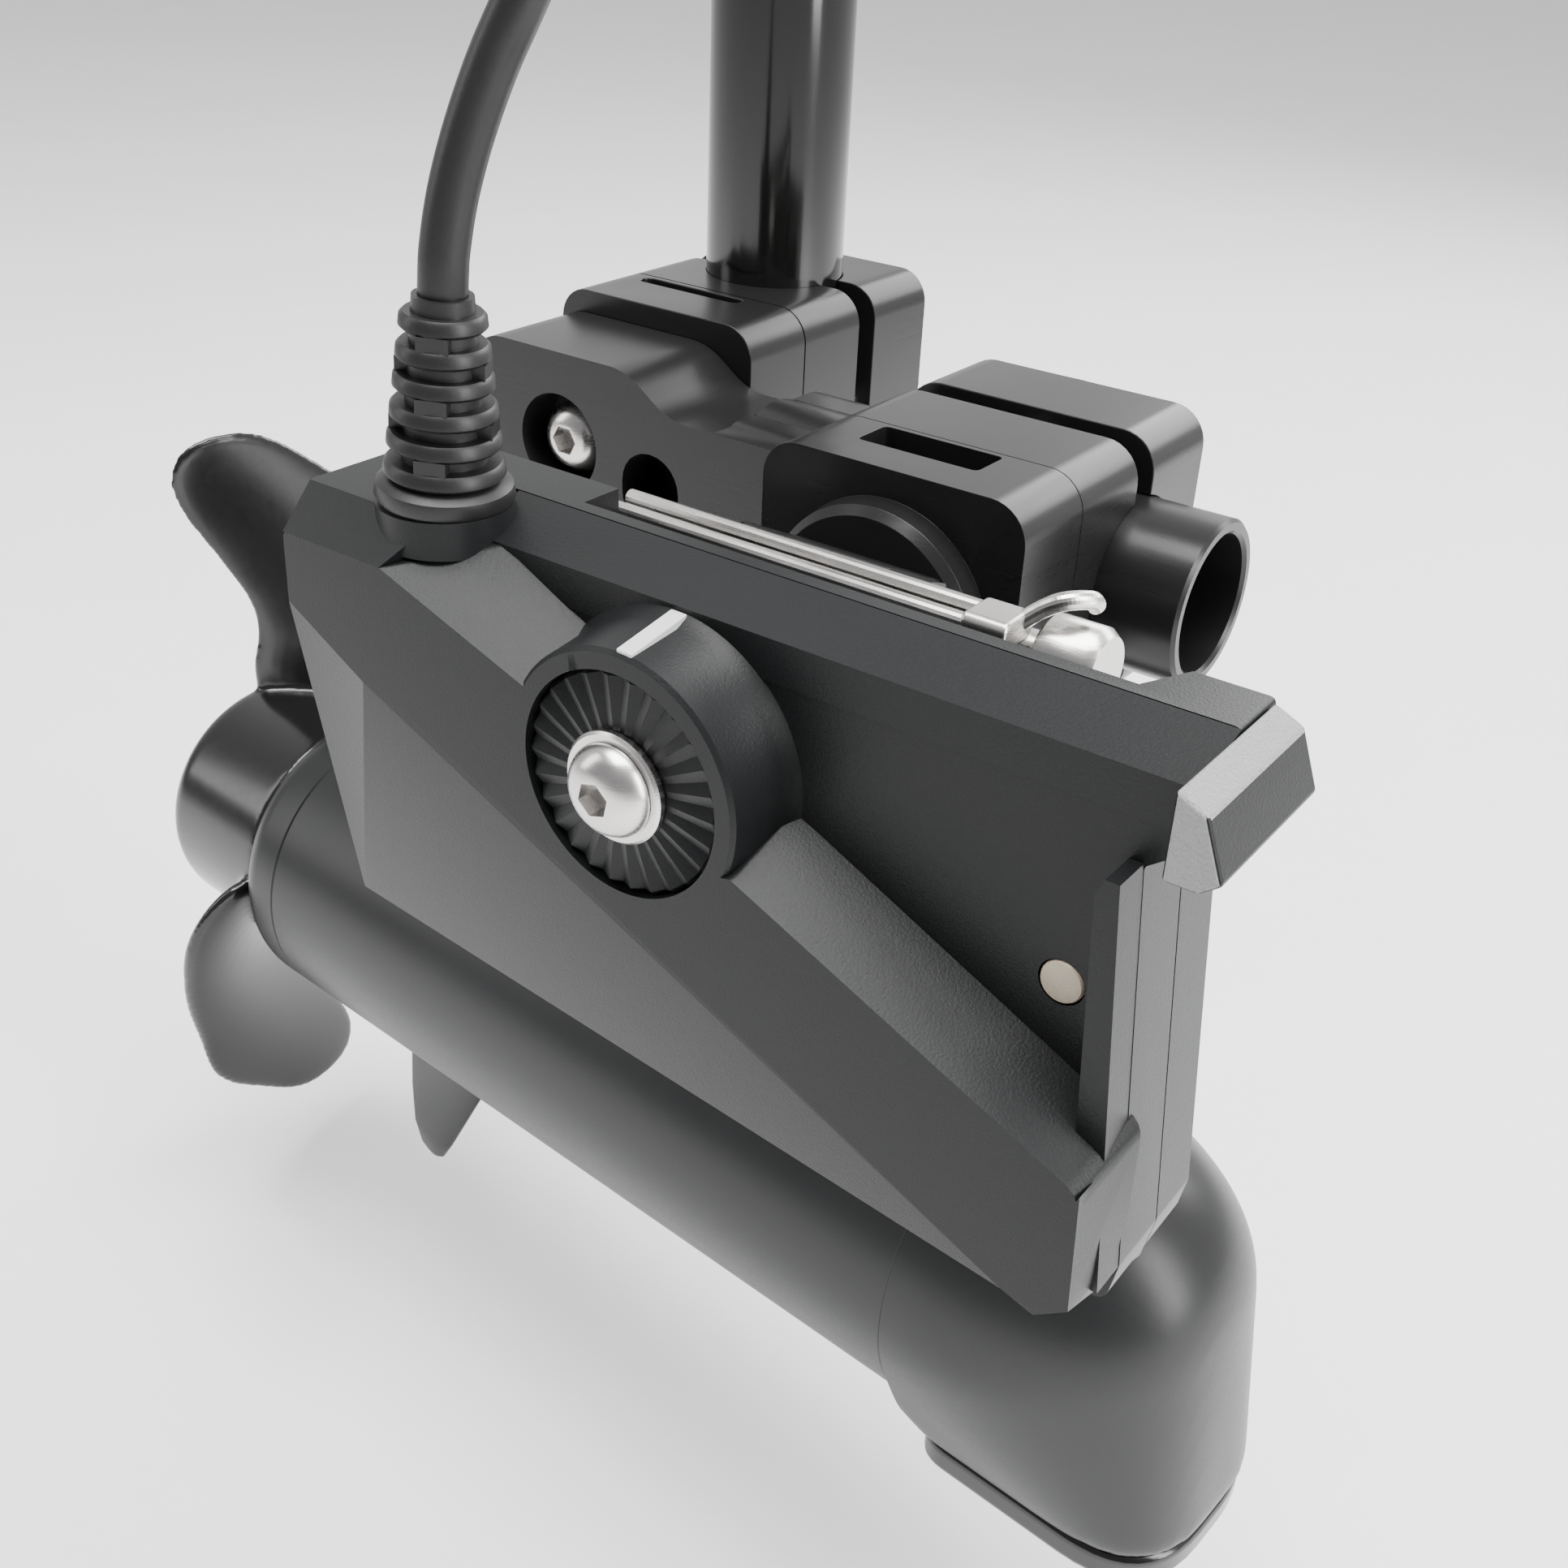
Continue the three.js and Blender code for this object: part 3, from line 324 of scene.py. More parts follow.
def prism(axis, outline, low, high, name="prism"):
    return loft(name, [[on_axis(axis, u, v, w) for u, v in outline] for w in (low, high)])


def box(x0, x1, y0, y1, z0, z1):
    return prism("z", [(x0, y0), (x1, y0), (x1, y1), (x0, y1)], z0, z1)


def circle(u, v, r, sides=64, first=0.0):
    angles = [first + 2 * math.pi * i / sides for i in range(sides)]
    return [(u + r * math.cos(a), v + r * math.sin(a)) for a in angles]


def rod(axis, u, v, r, low, high, sides=64):
    return prism(axis, circle(u, v, r, sides), low, high)


def fillet(outline, radius, steps=6):
    """The outline with each corner turned into a curve; radius is one number or one for each corner."""
    radii = radius if isinstance(radius, (list, tuple)) else [radius] * len(outline)
    points = [Vector(p) for p in outline]
    made = []
    for i, corner in enumerate(points):
        back = points[i - 1] - corner
        ahead = points[(i + 1) % len(points)] - corner
        reach = min(radii[i] / math.tan(back.angle(ahead) / 2), 0.48 * back.length, 0.48 * ahead.length)
        if reach < 1e-3:
            made.append(tuple(corner))
            continue
        a = corner + back.normalized() * reach
        b = corner + ahead.normalized() * reach
        for k in range(steps + 1):
            t = k / steps
            made.append(tuple(a * (1 - t) ** 2 + corner * 2 * t * (1 - t) + b * t ** 2))
    return made


def rounded_rect(u0, u1, v0, v1, r, steps=6):
    made = []
    corners = ((u1 - r, v0 + r, -0.5), (u1 - r, v1 - r, 0), (u0 + r, v1 - r, 0.5), (u0 + r, v0 + r, 1))
    for u, v, quarter in corners:
        for k in range(steps + 1):
            a = math.pi * (quarter + 0.5 * k / steps)
            made.append((u + r * math.cos(a), v + r * math.sin(a)))
    return made


def lathe(name, axis, profile, u=0, v=0, sides=72):
    """Turned solid from (radius, station) points. A profile off the axis closes into a ring."""
    sections = []
    for i in range(sides):
        a = 2 * math.pi * i / sides
        sections.append([on_axis(axis, u + r * math.cos(a), v + r * math.sin(a), s) for r, s in profile])
    piece = loft(name, sections, closed=True)
    shape = bmesh.new()
    shape.from_mesh(piece.data)
    bmesh.ops.dissolve_degenerate(shape, edges=shape.edges, dist=1e-4)
    bmesh.ops.recalc_face_normals(shape, faces=shape.faces)
    shape.to_mesh(piece.data)
    shape.free()
    return piece


def hull(name, points):
    shape = bmesh.new()
    for p in points:
        shape.verts.new(p)
    bmesh.ops.convex_hull(shape, input=shape.verts)
    bmesh.ops.recalc_face_normals(shape, faces=shape.faces)
    mesh = bpy.data.meshes.new(name)
    shape.to_mesh(mesh)
    shape.free()
    return new_object(name, mesh)


def smooth_path(points, steps):
    """Catmull-Rom curve through the points, with so many steps to each stretch."""
    points = [Vector(p) for p in points]
    padded = [2 * points[0] - points[1], *points, 2 * points[-1] - points[-2]]
    made = []
    for i in range(len(points) - 1):
        a, b, c, d = padded[i:i + 4]
        for k in range(steps):
            t = k / steps
            made.append(0.5 * (2 * b + (c - a) * t + (2 * a - 5 * b + 4 * c - d) * t ** 2
                               + (3 * b - a - 3 * c + d) * t ** 3))
    made.append(points[-1])
    return made


def sweep_sections(path, r, sides=20):
    """Round sections along a path, turned as little as possible from one to the next."""
    side = Vector((0, 0, 1)).cross(path[1] - path[0])
    side = side if side.length > 1e-6 else Vector((1, 0, 0))
    sections = []
    for i, p in enumerate(path):
        along = (path[min(i + 1, len(path) - 1)] - path[max(i - 1, 0)]).normalized()
        side = (side - along * side.dot(along)).normalized()
        other = along.cross(side)
        ring = []
        for k in range(sides):
            a = 2 * math.pi * k / sides
            ring.append(tuple(p + (side * math.cos(a) + other * math.sin(a)) * r))
        sections.append(ring)
    return sections


def wire(name, points, r, steps=8, sides=16):
    return loft(name, sweep_sections(smooth_path(points, steps), r, sides))


def add(piece, name, body, material, nodes=(), turn=None, sharp=40):
    """Moves a drawn piece into the frame, finishes it and has it ride on a body in place of its nodes."""
    piece.name = name
    piece.data.transform(TO_FRAME @ (turn or Matrix()))
    if not piece.data.has_custom_normals:
        piece.data.shade_smooth()
        piece.data.set_sharp_from_angle(angle=math.radians(sharp))
    piece.data.materials.clear()
    piece.data.materials.append(MATERIALS[material])
    if body:
        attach(piece, body)
    if nodes:
        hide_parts(*nodes)
    return piece


def paint_faces(piece, material, chosen):
    """Gives another finish to the faces that chosen(face) picks."""
    piece.data.materials.append(MATERIALS[material])
    for face in piece.data.polygons:
        if chosen(face):
            face.material_index = len(piece.data.materials) - 1


# ---------- shaft and lead ----------
# Route of the sonar lead, from the boot on the head to the gland on the shaft.
LEAD_ROUTE = [
    (47.2, -139.3, 31), (47.6, -138.8, 36.5), (48.4, -137.6, 43), (50, -135.8, 50.5), (52.4, -133.6, 58.5),
    (55.4, -131, 66.5), (60.4, -124.5, 83), (61.5, -114, 102), (56.5, -101, 122), (47.5, -86, 143),
    (36, -69, 165), (24, -52.5, 187), (13, -38.5, 209), (5, -29, 231), (0.8, -25.2, 250), (0, -24.5, 268),
]
# Each stretch has its first and last point, and the bodies at its two ends, which make_leads does not use.
LEAD_STRETCHES = [
    ("sonar_lead_lower", 0, 7, "sonar", "tube_clamp"),
    ("sonar_lead_middle", 7, 10, "tube_clamp", "arm"),
    ("sonar_lead_upper", 10, 15, "arm", "lower_unit"),
]
LEAD_STEPS = 6


def make_leads():
    inside_boot = (45.8, -139.5, 14)
    route = [inside_boot, *LEAD_ROUTE]
    sections = sweep_sections(smooth_path(route, LEAD_STEPS), LEAD_R, 24)
    for name, first, last, near, far in LEAD_STRETCHES:
        start = 0 if first == 0 else (first + 1) * LEAD_STEPS
        end = (last + 1) * LEAD_STEPS
        lead = loft(name, sections[start:end + 1])
        lead = add(lead, name + "_skin", None, "rubber", (name,), sharp=60)
        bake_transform(lead)


def make_shaft():
    bore = 11
    edge = 0.8
    profile = [
        (bore, SHAFT_FOOT), (SHAFT_R - edge, SHAFT_FOOT), (SHAFT_R, SHAFT_FOOT + edge),
        (SHAFT_R, SHAFT_TOP - edge), (SHAFT_R - edge, SHAFT_TOP), (bore, SHAFT_TOP),
    ]
    add(lathe("shaft", "z", profile, sides=96), "steering_shaft", "lower_unit", "composite", ("shaft",))
    low = 262
    saddle = rod("z", 0, 0, 20, low, low + 34)
    gland = join(saddle, prism("z", rounded_rect(-9, 9, -33, -12, 4), low, low + 34))
    gland = cut(gland, rod("z", 0, 0, SHAFT_R + 0.2, low - 1, low + 35, 96))
    gland = cut(gland, rod("z", 0, -24.5, LEAD_R + 0.4, low - 1, low + 12, 32))
    add(soften(gland, 1.2), "shaft_gland", "lower_unit", "rubber", ("lead_gland",))
    for z in (low + 5, low + 29):
        band = [(20.1, z - 2), (20.7, z - 1.6), (20.7, z + 1.6), (20.1, z + 2), (19.7, z)]
        add(lathe("band", "z", band), f"gland_band_{z}", "lower_unit", "steel")


# ---------- strain relief ----------
def make_strain_relief():
    """Ribbed boot: rings on a tapering core, with webs that close the gaps between them by turns."""
    ribs = 6
    foot, top = 0.3, 29
    flange = 3.6
    pitch = (top - flange - 0.6) / ribs
    core = [
        (LEAD_R, foot), (9.5, foot), (9.9, foot + 0.8), (9.6, foot + 2.4), (8.4, foot + 3.2),
        (6.2, foot + 3.6), (4.2, top), (LEAD_R, top),
    ]
    pieces = [lathe("boot", "z", core, sides=48)]
    for i in range(ribs):
        z = foot + flange + i * pitch
        r = 8.8 - 3 * (i + 0.5) / ribs
        high = z + pitch * 0.56
        inner = 3.9
        ring = [
            (inner, z), (r - 0.5, z), (r, z + 0.5), (r - 0.15, high - 0.5), (r - 0.65, high), (inner, high),
        ]
        pieces.append(lathe("rib", "z", ring, sides=48))
        if i + 1 < ribs:
            web = box(-2.2, 2.2, -r + 0.8, r - 0.8, high - 0.2, z + pitch + 0.2)
            web.data.transform(Matrix.Rotation(math.radians(30 + 90 * i), 4, "Z"))
            pieces.append(web)
    boot = merge(*pieces)
    lean = Matrix.Translation((*BOOT, 0.6)) @ Matrix.Rotation(math.radians(3.5), 4, "Y")
    add(boot, "lead_boot", "sonar", "rubber", ("strain_relief",), lean)


# ---------- clamps ----------
def screw(axis, u, v, low, high, r, hex_r, out):
    """Socket screw's head; out is +1 where it faces the axis's high end."""
    face = high if out > 0 else low
    head = soften(rod(axis, u, v, r, low, high, 48), 0.5)
    socket = sorted((face - out * 2.4, face + out))
    return cut(head, prism(axis, circle(u, v, hex_r, 6), *socket))


def make_clamp(prefix, body, turn, plate_cuts, plate_extra):
    half = CLAMP_W / 2
    front, seam, split, cap_start, back = -39.5, -21.5, -2.8, 3, 22.5
    edge = 0.9
    outline = rounded_rect(-half, half, -CLAMP_W, 0, 6.5, 8)
    gap = 0.2

    def bore():
        return rod("z", 0, 0, SHAFT_R + 0.12, -CLAMP_W - 1, 1, 96)

    plate = prism("y", outline, front, seam - gap)
    plate = soften(cut(join(plate, *plate_extra), *plate_cuts), edge)
    add(plate, f"{prefix}_front", body, "anodised", (f"{prefix}_plate",), turn)
    middle = soften(cut(prism("y", outline, seam, split), bore()), edge)
    add(middle, f"{prefix}_middle", body, "anodised", (f"{prefix}_body",), turn)
    screw_x = half - 5.2
    wells = [rod("y", x, -half, 4.9, back - 6, back + 1, 48) for x in (-screw_x, screw_x)]
    rear = soften(cut(prism("y", outline, cap_start, back), bore(), *wells), edge)
    add(rear, f"{prefix}_rear", body, "anodised", (f"{prefix}_cap",), turn)
    for i, x in enumerate((-screw_x, screw_x)):
        shank = rod("y", x, -half, 2, split - 6, back - 5, 24)
        bolt = join(screw("y", x, -half, back - 5.7, back - 0.7, 4.4, 2.2, 1), shank)
        add(bolt, f"{prefix}_bolt_{i + 1}", body, "steel", (f"{prefix}_screw_{i + 1}",), turn)


def make_clamps():
    half = CLAMP_W / 2
    slot = prism("z", rounded_rect(-15, 10, -26.4, -23.2, 1.5), -3, 1)
    dimples = [rod("z", x, -24.8, 1.2, -4.5, 1, 24) for x in (-10, 6)]
    bolt_seat = rod("y", *ARM_PIVOT, 4.2, -41, -27, 32)
    make_clamp("shaft_clamp", "lower_unit", None, [slot, *dimples, bolt_seat], [])
    notch = prism("x", rounded_rect(-31, -22.8, -36, -14, 1), -half - 1, -half + 6)
    off_tube = ON_TUBE.inverted()
    dish_y = TUBE[0] - 39.5
    dish = lathe("dish", "y", [(0, dish_y - 5), (17.6, dish_y - 5), (19, dish_y - 3.6), (19.4, dish_y + 1),
                               (0, dish_y + 1)], TUBE_CLAMP_X, TUBE[1])
    y, z = PIN
    tongue_side = [(dish_y + 1, -17), (dish_y + 1, -33), (y, -27), (y - 5, -16), (y - 5.3, z), (y - 3.5, -7),
                   (y, -5.6), (y + 3.5, -7), (dish_y + 1, -15)]
    tongue = prism("x", fillet(tongue_side, 1.6), TUBE_CLAMP_X - TONGUE_HALF, TUBE_CLAMP_X + TONGUE_HALF)
    pin_way = rod("x", y, z, 3.2, 40, 130, 32)
    for tool in (dish, tongue, pin_way):
        tool.data.transform(off_tube)
    make_clamp("tube_clamp", "tube_clamp", ON_TUBE, [notch, pin_way], [dish, tongue])


# ---------- arm, tube and bracket ----------
def make_arm():
    front, back, low = -64, -39.8, -46
    left, right, dip, top = -24, 57, -11.5, -4.4
    face = [
        (left, low + 8), (left + 8, low), (right, low), (right, dip), (34, dip), (24, dip), (14, top),
        (left, top),
    ]
    slab = prism("y", fillet(face, [5, 5, 2, 2, 4, 14, 14, 7], 8), front, back)
    knuckle = prism("x", rounded_rect(front, -28, low, -10.5, 7, 8), 35, right)
    arm = join(slab, knuckle)
    arm = cut(
        arm,
        rod("x", *TUBE, SHAFT_R + 0.1, 35.2, 60, 96),
        rod("y", *ARM_PIVOT, 9.5, front - 1, front + 9),
        rod("y", *ARM_PIVOT, 4.3, front, back + 1, 32),
        prism("y", rounded_rect(13, 26.5, -34, -19, 6.5), front - 1, front + 10),
    )
    add(soften(arm, 1), "arm", "arm", "anodised", ("sonar_arm",))
    x0, x1 = 35.5, 125
    bore, edge = 11.8, 0.6
    profile = [
        (bore, x0), (SHAFT_R, x0), (SHAFT_R, x1 - edge), (SHAFT_R - edge, x1), (bore + edge, x1),
        (bore, x1 - edge),
    ]
    add(lathe("tube", "x", profile, *TUBE, sides=96), "tube", "arm", "anodised", ("cross_tube",))
    head_y = front + 1.5
    button = [
        (0, head_y), (3.4, head_y), (5.2, head_y + 0.9), (6.6, head_y + 2.8), (7, head_y + 4.4),
        (7, head_y + 7.2), (0, head_y + 7.2),
    ]
    head = lathe("head", "y", button, *ARM_PIVOT)
    socket = prism("y", circle(*ARM_PIVOT, 2.9, 6), head_y - 1, head_y + 3)
    bolt = join(cut(head, socket), rod("y", *ARM_PIVOT, 4, head_y + 6, -28, 32))
    add(bolt, "arm_bolt", "arm", "steel", ("arm_pivot_bolt",))


def make_bracket():
    back = -118.7
    plate = lathe("disc", "y", [(0, back), (14.5, back), (14.5, back + 5.5), (0, back + 5.5)], *TILT)
    base = prism("y", rounded_rect(65.5, 106.5, -38, -13, 3), back, back + 5.5)
    y, z = PIN
    side = [
        (back + 5, -13.4), (back + 5, -24), (y + 1, -17.5), (y + 4.6, -14), (y + 5.3, z), (y + 3.6, -7),
        (y, -5.6), (y - 3.6, -7),
    ]
    width, inner = 7, TONGUE_HALF + 0.3
    places = (TUBE_CLAMP_X - inner - width, TUBE_CLAMP_X + inner)
    lugs = [prism("x", side, x, x + width) for x in places]
    bracket = join(plate, base, *lugs)
    bracket = cut(bracket, rod("x", y, z, 3.2, 40, 130, 32), rod("y", *TILT, 3.3, back - 1, back + 7, 32))
    add(soften(bracket, 0.7), "head_bracket", "tube_clamp", "anodised", ("sonar_bracket",))


def make_pin_and_bail():
    y, z = PIN
    neck, end = 125, 134
    profile = [
        (0, 50), (1.8, 50), (3, 51.6), (3, neck), (5.6, neck), (6.2, neck + 0.6), (6.2, end - 1.4),
        (5.2, end), (0, end),
    ]
    pin = lathe("pin", "x", profile, y, z, sides=48)
    add(pin, "pull_pin", "lock_pin", "steel", ("lock_pin",))
    near, far, top = -115.3, -111, -5.2
    r = 1.3
    right = 118
    prongs = []
    for i, side in enumerate((near, far)):
        level = top + 0.4 * i
        start = 54 + i
        line = [(x, side, level) for x in (start + 0.4, 90, right + 1)]
        stem = wire("prong", line, r, steps=2)
        rounded = [(0, start), (r * 0.7, start + 0.3), (r, start + 1), (0, start + 1)]
        tip = lathe("tip", "x", rounded, side, level, 16)
        prongs += [stem, tip]
    ferrule = prism("x", rounded_rect(near - 1.6, far + 2.2, top - 2.4, top + 2, 1.6), right - 1, right + 6)
    hook = wire("hook", [(right + 5, far, top + 0.4), (right + 7.5, far + 1.4, top + 2.6),
                         (right + 10, y - 2.6, top + 4), (right + 12.2, y + 0.4, top + 3.8),
                         (right + 12.4, y + 2, top + 2.6)], r)
    bail = merge(soften(ferrule, 0.6), *prongs, hook)
    add(bail, "bail", "wire_bail", "steel", ("wire_bail",))


# ---------- sonar head ----------
HEAD_X = (22.2, 161.5)
HEAD_Z = (-74, 0)
HEAD_FRONT = -152
HEAD_FACE = -140
HEAD_SEAM = -129
HEAD_BACK = -119
SENSOR = (149, -35)


def head_outline(top):
    left, right = HEAD_X
    low, high = HEAD_Z
    corners = [
        (left, low), (150, low), (157, low - 7), (right, low - 7), (right + 1.2, low), (right - 4.5, -15),
        (right, -11.5), (right, top), (52, top), (48, high), (26, high), (24.6, top), (24.6, -18),
        (left, -19),
    ]
    return fillet(corners, [2, 2, 3, 4, 3, 1, 1, 1, 0.2, 0.2, 0.2, 1, 1, 1], 4)


def make_front_shell():
    right = HEAD_X[1]
    seam = HEAD_SEAM - 0.3
    slab = prism("y", head_outline(-3), HEAD_FACE, seam)
    rim = box(24.6, 48, -146, seam, -4.2, 0)
    slope = prism("x", [(seam, 0), (HEAD_FACE - 0.2, -3), (HEAD_FACE - 0.2, -9), (seam, -9)], 50, right)
    side_rim = prism("y", [(right - 7.5, -17), (right - 6.5, -14.6), (right - 4.6, -14.6),
                          (right + 1.1, -74), (right - 3.5, -74)], -146, seam)
    band = [(24.8, -6.3), (24.5, -17.3), (39.5, -25.8), (152, -75), (157, -76.5), (161.5, -73),
            (160.5, -54.5), (107, -31.7), (88, -36), (72.4, -16), (44.7, -6.3)]
    foot = [(24.6, -4.2), (24.3, -17.6), (36.5, -28.5), (149, -79), (156, -81), (162.4, -75), (162, -51),
            (108, -26), (88, -36), (76, -12), (58, -3)]
    sections = []
    for outline, y in ((band, HEAD_FRONT), (foot, HEAD_FACE + 1)):
        sections.append([(u, y, v) for u, v in fillet(outline, [1, 1, 2, 3, 3, 4, 4, 2, 0.2, 2, 3], 4)])
    ridge = loft("ridge", sections)
    corner = hull("corner", [(24.8, HEAD_FRONT, -6.3), (44.7, HEAD_FRONT, -6.3), (24.8, -146.2, 0),
                             (50, -146.2, 0), (24.8, -138, 0), (50, -138, 0), (24.8, -138, -12),
                             (48, -138, -12)])
    wedge = hull("wedge", [(24.5, HEAD_FRONT, -17.3), (39.5, HEAD_FRONT, -25.8), (152, HEAD_FRONT, -75),
                           (22.2, -141, -19), (22.2, -141, -74), (150, -141, -74), (157, -141, -81),
                           (22.2, -138, -19), (22.2, -138, -74), (157, -138, -81)])
    boss_profile = [(0, HEAD_FRONT), (18.8, HEAD_FRONT), (19.4, HEAD_FRONT + 0.6), (20.2, -142.5), (22, -139),
                    (0, -139)]
    boss = lathe("boss", "y", boss_profile, *TILT, sides=96)
    front_foot = [(152, -75), (157, -76.5), (161.5, -73), (160.6, -54.5)]
    back_foot = [(150, -75), (157, -81), (161.5, -81), (162.6, -74), (160.8, -54.5)]
    ends = ((HEAD_FRONT, front_foot), (seam, back_foot))
    foot_block = hull("foot", [(u, y, v) for y, corners in ends for u, v in corners])
    pad = rod("z", *BOOT, 9.8, -5, 0.5)
    shell = join(slab, rim, slope, side_rim, ridge, corner, wedge, foot_block, pad, boss)
    inside = box(HEAD_X[0] + 3, right - 8, HEAD_FACE + 3, HEAD_SEAM + 1, HEAD_Z[0] + 3, -6.5)
    shell = cut(
        join(cut(shell, inside), rod("y", *TILT, 8, HEAD_FACE, seam, 48)),
        rod("y", *TILT, 3.2, HEAD_FRONT - 1, HEAD_SEAM, 32),
        rod("y", *TILT, 16.35, HEAD_FRONT - 1, HEAD_FRONT + 4.3, 96),
        rod("y", *SENSOR, 3.25, HEAD_FACE - 1, HEAD_FACE + 5, 48),
        rod("z", *BOOT, 4.6, -12, 1, 32),
    )
    shell = soften(shell, 0.55, 3)
    add(shell, "head_front", "sonar", "plastic", ("sonar_front_shell",))
    strip = hull("strip", [(u, y, TILT[1] + r + lift) for u in (87.6, 90.2) for lift in (-1, 0.25)
                           for y, r in ((HEAD_FRONT + 0.5, 19.4), (-142.5, 20.2), (-140.4, 21.2))])
    add(soften(strip, 0.2), "index_mark", "sonar", "mark")


def make_back_shell():
    right = HEAD_X[1]
    slab = prism("y", head_outline(0), HEAD_SEAM, HEAD_BACK)
    relief = hull("relief", [(60, HEAD_SEAM + 2.5, 1), (148, HEAD_SEAM + 2.5, 1), (60, HEAD_BACK + 1, 1),
                             (152, HEAD_BACK + 1, 1), (60, HEAD_SEAM + 2.5, -9), (141, HEAD_SEAM + 2.5, -9),
                             (60, HEAD_BACK + 1, -9), (141, HEAD_BACK + 1, -9)])
    hollow = box(HEAD_X[0] + 3, right - 8, HEAD_SEAM - 1, HEAD_BACK - 3, HEAD_Z[0] + 3, -12)
    shell = join(cut(slab, relief, hollow), rod("y", *TILT, 8, HEAD_SEAM, HEAD_BACK, 48))
    shell = cut(shell, rod("y", *TILT, 3.2, HEAD_SEAM - 1, HEAD_BACK + 1, 32))
    wells = [rod("y", x, z, 3.4, HEAD_BACK - 1.6, HEAD_BACK + 1, 32) for x, z in CASE_SCREWS]
    shell = cut(shell, *wells)
    add(soften(shell, 0.55), "head_back", "sonar", "plastic", ("sonar_back_shell",))
    for i, (x, z) in enumerate(CASE_SCREWS):
        head = screw("y", x, z, HEAD_BACK - 2.4, HEAD_BACK - 0.5, 3, 1.4, 1)
        add(head, f"case_screw_{i + 1}", "sonar", "steel")


def make_head_nose():
    x = HEAD_X[1] + 0.2
    side = [(x, 0), (x, -11.5), (x + 4.5, -11.5), (x + 7, -9.5), (x + 4, -1.8)]
    nose = soften(prism("y", side, -147, -120), 0.6)
    nose = add(nose, "head_nose", "sonar", "plastic", ("sonar_nose",))
    # Faces that face up or toward the front get the light grey painted highlight.
    paint_faces(nose, "painted_highlight", lambda face: face.normal.z > 0.5 or face.normal.y < -0.8)


def make_tilt_joint():
    """Toothed disc, washer and button-head bolt in the boss."""
    teeth, rings = 26, 3
    inner, outer = 3.3, 16.1
    foot, face = HEAD_FRONT + 4, HEAD_FRONT + 0.5
    sections = []
    for i in range(teeth * 2):
        a = 2 * math.pi * i / (teeth * 2)
        drop = 0.55 * (i % 2)
        section = [(inner, foot)]
        for k in range(rings + 1):
            r = 7.6 + (outer - 0.5 - 7.6) * k / rings
            if k == 0:
                section.append((inner, face))
                section.append((7.4, face))
            section.append((r, face + drop * (0.35 + 1.25 * k / rings)))
        section.append((outer, face + drop * 1.6 + 0.4))
        section.append((outer, foot))
        sections.append([on_axis("y", TILT[0] + r * math.cos(a), TILT[1] + r * math.sin(a), s)
                         for r, s in section])
    disc = loft("disc", sections, closed=True)
    add(disc, "toothed_disc", "sonar", "plastic", ("tilt_rosette",), sharp=12)
    under = face - 0.1
    rim = [
        (3.3, under), (7.9, under), (8.1, under - 0.3), (8.1, under - 1.1), (7.7, under - 1.5),
        (3.3, under - 1.5),
    ]
    washer = lathe("washer", "y", rim, *TILT)
    add(washer, "bolt_washer", "sonar", "steel", ("tilt_washer",))
    low = under - 1.6
    dome = [
        (0, low - 3.7), (2.9, low - 3.6), (4.6, low - 3), (5.9, low - 1.9), (6.6, low - 0.7), (6.7, low),
        (0, low),
    ]
    socket = prism("y", circle(*TILT, 2.6, 6, 0.3), low - 5, low - 1.2)
    shank = rod("y", *TILT, 2.9, low - 0.1, HEAD_BACK + 5, 32)
    bolt = join(cut(lathe("bolt", "y", dome, *TILT), socket), shank)
    add(bolt, "button_bolt", "sonar", "steel", ("tilt_bolt",))
    y = HEAD_FACE
    face = [(0, y - 0.5), (2, y - 0.45), (2.8, y - 0.2), (3, y + 0.2), (3, y + 4.5), (0, y + 4.5)]
    pad = lathe("pad", "y", face, *SENSOR)
    add(pad, "sensor_pad", "sonar", "tan", ("water_sensor",))


# ---------- motor pod ----------
def make_pod():
    rear, front = -150, 83.2
    bore, edge = POD_R - 4, 0.12
    profile = [
        (bore, rear), (POD_R - edge, rear), (POD_R, rear + edge), (POD_R, front - edge),
        (POD_R - edge, front), (bore, front),
    ]
    shell = lathe("shell", "x", profile, 0, POD_AXIS_Z, 96)
    collar_foot = POD_AXIS_Z + POD_R
    neck = lathe("neck", "z", [(SHAFT_R + 0.3, collar_foot - 6), (34, collar_foot - 6), (27, collar_foot - 1),
                               (24.2, collar_foot + 6), (23, collar_foot + 16), (22.4, collar_foot + 24.6),
                               (21, collar_foot + 26), (SHAFT_R + 0.3, collar_foot + 26)])
    add(shell, "pod_shell", "lower_unit", "painted", ("pod_housing",), POD_TURN)
    add(neck, "pod_neck", "lower_unit", "painted", (), POD_TURN, sharp=60)
    make_skeg()
    make_nose(front + 0.05)
    make_bell(rear - 0.3)


def make_skeg():
    """Fin under the pod, with a rounded leading edge and a thin tail."""
    top = POD_AXIS_Z - POD_R + 4
    levels = [(-147, -104, top, 4.2), (-149.5, -113, -290, 3.6), (-151, -122, -306, 3.2),
              (-151, -131, -322, 2.8), (-148, -136, -330, 2), (-145, -139, -331.8, 1)]
    sections = []
    for tail, lead, z, thick in levels:
        sections.append([(tail + (lead - tail) * (0.5 + 0.5 * math.cos(a)),
                          thick * math.sin(a) * (0.62 + 0.38 * math.cos(a)), z)
                         for a in (2 * math.pi * i / 32 for i in range(32))])
    add(loft("skeg", sections), "skeg_fin", "lower_unit", "painted", (), POD_TURN, sharp=70)


def nose_outline(inset):
    back, front, side = 84 + inset, 153 - inset, 30 - inset
    outline = [(back, -side), (front, -side), (front, side), (back, side)]
    return fillet(outline, [9, 24, 24, 9], 10)


